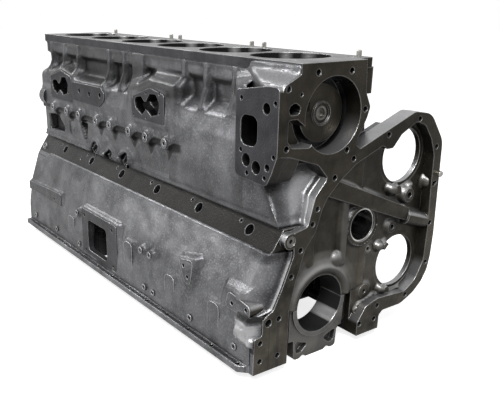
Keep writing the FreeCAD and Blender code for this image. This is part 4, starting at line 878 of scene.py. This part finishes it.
frontFloor = {
    "level": -22.0, "proud": 0.8, "thickness": 7.0,
    "columns": np.arange(-92.0, 268.0, 2.2), "rows": np.arange(2.0, 398.0, 2.2),
    "recess": [(-16, 286, 8), (12, 312, 6), (48, 336, 14), (112, 360, 10), (122, 352, 8), (138, 352, 8),
               (158, 374, 10), (196, 393, 16), (222, 384, 16), (244, 356, 20), (257, 325, 20), (259, 262, 10),
               (264, 180, 10), (262, 112, 30), (242, 76, 30), (214, 59, 12), (139, 64, 20), (106, 56, 16),
               (85, 26, 10), (85, -1, 1), (-89, -1, 1), (-89, 100, 20), (-78, 150, 20), (-60, 204, 10),
               (-38, 232, 10), (-26, 268, 10)],
    "overlap": 2.2, "inset": 3.0, "wallFillet": 7.0, "wallFilletEnd": 226.0, "ribFillet": 9.0, "coveRadius": 7.0,
    "rib": [(-18, 290), (4, 314), (206, 230), (206, 204)],
    "crank": (0.0, 84.0, 55.2), "ringFrom": 80.0,
    "ringProfile": [(50, 1), (57, 3.4), (60, 6.6), (64, 9.6), (68, 9.6), (74, 5.6), (84, 2.4), (98, 0)],
    "cam": (94.0, 214.0, 39.5),
    "holes": [(191.0, 329.0, 51.0), (200.0, 121.0, 51.0)], "holeMargin": 2.0, "holeDrop": 2.5,
    "bosses": [(208, 253, 13, 14.0), (175, 195, 11, 8.0), (270, 270, 11, 18.0), (163, 159, 7, 9.0),
               (175, 67, 7, 10.0), (117, 77, 14, 4.0), (119, 162, 10, 3.0)],
    "bossDrop": 1.5, "bossRunOut": 9.0,
    "domes": [(166, 270, 13, 15.0), (214, 270, 10, 12.0), (146, 162, 11, 12.0), (200, 226, 10, 15.0),
              (164, 71, 12, 12.0), (36, 160, 15, 10.0)],
    "ridges": [(48, 150, 262, 4.0, 8.4), (84, 262, 346, 3.0, 3.6), (-28, 150, 236, 5.0, 3.4),
               (106, 96, 176, 3.0, 3.0)],
    "ridgeRunOut": 8.0,
    "tube": [(204, 211), (262, 193)], "tubeHalf": 12.7,
    "capGap": (91.0, 87.0), "capTuck": 5.0,
    "dents": [(0.5, 34.0, 21), (0.3, 13.0, 22)], "lowTone": 0.30, "highTone": -0.05,
}


def roundedCorners(corners, count=5):
    # outline with each corner replaced by points of a curve between its two tangent points
    points = np.array([corner[:2] for corner in corners], float)
    result = []
    for before, at, after, corner in zip(np.roll(points, 1, axis=0), points, np.roll(points, -1, axis=0), corners):
        a, b = before - at, after - at
        sizeA, sizeB = np.linalg.norm(a), np.linalg.norm(b)
        half = 0.5 * np.arccos(np.clip(a @ b / (sizeA * sizeB), -1.0, 1.0))
        reach = min(corner[2] / np.tan(half), 0.45 * sizeA, 0.45 * sizeB)
        start, end = at + a / sizeA * reach, at + b / sizeB * reach
        t = np.linspace(0.0, 1.0, count)[:, None]
        result.extend(((1 - t) ** 2 * start + 2 * t * (1 - t) * at + t ** 2 * end).tolist())
    return result


def cove(gap, radius):
    # height of a concave fillet at a gap from the wall it runs up: radius at the wall, 0 one radius away
    t = np.clip(1.0 - gap / radius, 0.0, 1.0)
    return radius * (1.0 - np.sqrt(1.0 - t * t))


def buildFrontFloor():
    # cast floor of the gear case, with coves up its walls, ribs and rings; its edges end inside the block's solids
    f = frontFloor
    y, z = np.meshgrid(f["columns"], f["rows"])
    wall = outlineGap(y, z, roundedCorners(f["recess"]))
    rib = outlineGap(y, z, f["rib"])
    wallCove = cove(-wall, f["wallFillet"]) * stepDown(y, f["wallFilletEnd"], 10.0)
    height = np.maximum(wallCove, cove(rib, f["ribFillet"]))
    crankY, crankZ, crankRadius = f["crank"]
    crank = np.hypot(y - crankY, z - crankZ)
    ring = tableAt(crank, f["ringProfile"], (-2, 0, 2))
    height = np.where(z > f["ringFrom"], np.maximum(height, ring), height)
    camY, camZ, camRadius = f["cam"]
    cam = np.hypot(y - camY, z - camZ) - camRadius
    tube = outlineGap(y, z, f["tube"]) - f["tubeHalf"]
    height = np.maximum(np.maximum(height, cove(cam, f["coveRadius"])), cove(tube, f["coveRadius"]))
    capHalf, capTop = f["capGap"]
    keep = (wall < f["overlap"]) & (rib > -f["inset"]) & (tube > -f["inset"]) & (cam > -f["inset"])
    keep &= (crank > crankRadius) & ((np.abs(y) > capHalf) | (z > capTop))
    for ridgeY, low, high, half, rise in f["ridges"]:
        gap = np.maximum(np.abs(y - ridgeY) - half, np.maximum(low - z, z - high))
        height = np.maximum(height, rise * easing(1.0 - gap / f["ridgeRunOut"]))
    for bossY, bossZ, radius, rise in f["bosses"]:
        gap = np.hypot(y - bossY, z - bossZ) - radius
        height = np.maximum(height, (rise - f["bossDrop"]) * easing(1.0 - gap / f["bossRunOut"]))
        keep &= gap > -f["inset"]
    for domeY, domeZ, radius, rise in f["domes"]:
        away = np.hypot(y - domeY, z - domeZ) / radius
        height = np.maximum(height, rise * np.sqrt(np.clip(1.0 - away ** 2, 0.0, 1.0)))
    # darker on the flat floor, slightly paler on raised forms as painted highlight
    tone = f["lowTone"] * easing(0.6 - height / 6.0) + f["highTone"] * stepUp(height, 3.0, 6.0)
    height = height + f["proud"] + mixedUnevenness(y, z, f["dents"])
    for holeY, holeZ, radius in f["holes"]:
        gap = np.hypot(y - holeY, z - holeZ) - radius
        sunk = height * stepUp(gap, 1.5, 7.0) - f["holeDrop"] * (1.0 - stepUp(gap, 1.5, 6.0))
        height = np.where(gap < 9.0, sunk, height)
        keep &= gap > f["holeMargin"]
    height = height - f["capTuck"] * (1.0 - easing(np.maximum(np.abs(y) - capHalf, z - capTop + 2.0) / 3.0))
    front = np.stack([f["level"] + height, y, z], -1)
    back = np.stack([np.full(y.shape, f["level"] - f["thickness"]), y, z], -1)
    return front, back, tone, cellsOf(keep)


slab("upperWall", *buildUpperWall(), wallIron)
slab("frontFloor", *buildFrontFloor(), floorIron)
slab("padGusset", *buildPadGusset(), wallIron)
slab("castLug", *buildCastLug(), wallIron)
slab("skirtWall", *buildSkirtWall(), wallIron)

floorLook = {"Base Color": (0.75, 0.75, 0.75, 1.0), "Roughness": 0.9, "Emission Color": (1.0, 1.0, 1.0, 1.0)}
reach, glow = 12.0, 0.8
floorMesh = bpy.data.meshes.new("floor")
floorMesh.from_pydata([(-reach, -reach, 0), (reach, -reach, 0), (reach, reach, 0), (-reach, reach, 0)], [],
                      [(0, 1, 2, 3)])
floor = bpy.data.objects.new("floor", floorMesh)
bpy.context.collection.objects.link(floor)
floorPaint, tree, shader = newMaterial("floorPaint")
for name, value in floorLook.items():
    shader.inputs[name].default_value = value
cameraRay = put(tree, "ShaderNodeLightPath").outputs["Is Camera Ray"]
tree.links.new(rangeOf(tree, cameraRay, 0.0, 1.0, 0.0, glow), shader.inputs["Emission Strength"])
floorMesh.materials.append(floorPaint)

# white behind the object and in its reflections, and a weak even light on it
skyLight, skySeen = 0.3, 1.0
world = bpy.data.worlds.new("studio")
bpy.context.scene.world = world
world.use_nodes = True
tree = world.node_tree
tree.nodes.clear()
rays = put(tree, "ShaderNodeLightPath").outputs
seen = compute(tree, "MAXIMUM", rays["Is Camera Ray"], rays["Is Transmission Ray"])
seen = compute(tree, "MAXIMUM", seen, rays["Is Glossy Ray"])
strength = rangeOf(tree, seen, 0.0, 1.0, skyLight, skySeen)
sky = put(tree, "ShaderNodeBackground", {"Color": (1.0, 1.0, 1.0, 1.0), "Strength": strength})
put(tree, "ShaderNodeOutputWorld", {"Surface": sky.outputs[0]})

# area lamps: name, place and target in metres, width and height, watts
lamps = [
    ("keyLight", (1.7, -1.5, 2.3), (0.1, 0.0, 0.25), (1.3, 0.9), 75.0),
    ("sideFill", (-1.8, -2.3, 0.55), (-0.1, 0.0, 0.15), (1.8, 0.8), 12.0),
    ("topLight", (-0.3, -1.1, 2.6), (0.0, 0.0, 0.4), (1.4, 0.7), 26.0),
    ("rimLight", (-2.5, -0.9, 2.1), (-0.1, 0.0, 0.35), (0.8, 0.5), 30.0),
]
for name, place, target, size, power in lamps:
    data = bpy.data.lights.new(name, "AREA")
    data.shape = "RECTANGLE"
    data.size, data.size_y = size
    data.energy = power
    lamp = bpy.data.objects.new(name, data)
    lamp.location = place
    lamp.rotation_euler = (Vector(target) - Vector(place)).to_track_quat("-Z", "Y").to_euler()
    bpy.context.collection.objects.link(lamp)

# the photograph's camera: its stand in working millimetres, its yaw, pitch and roll in degrees, and its lens
view = {"stand": (745.03, -790.37, 599.31), "angles": (55.022, 19.19, 0.255)}
lens = {"lens": 47.817, "sensor_width": 36.0, "sensor_fit": "HORIZONTAL", "shift_x": 0.0961, "shift_y": 0.0571,
        "clip_end": 60.0}
cameraData = bpy.data.cameras.new("camera")
for name, value in lens.items():
    setattr(cameraData, name, value)
camera = bpy.data.objects.new("camera", cameraData)
yaw, pitch, roll = np.radians(view["angles"])
ahead = np.array([-np.sin(yaw) * np.cos(pitch), np.cos(yaw) * np.cos(pitch), -np.sin(pitch)])
right = np.cross(ahead, [0.0, 0.0, 1.0])
right = right / np.linalg.norm(right)
up = np.cross(right, ahead)
axes = np.eye(4)
axes[:3, 0] = np.cos(roll) * right + np.sin(roll) * up
axes[:3, 1] = -np.sin(roll) * right + np.cos(roll) * up
axes[:3, 2] = -ahead
axes[:3, 3] = (np.array(view["stand"]) + toRow) / 1000.0
camera.matrix_world = Matrix(axes.tolist())
bpy.context.collection.objects.link(camera)
bpy.context.scene.camera = camera
bpy.context.scene.view_settings.view_transform = "Standard"
print("stage: camera and light set")
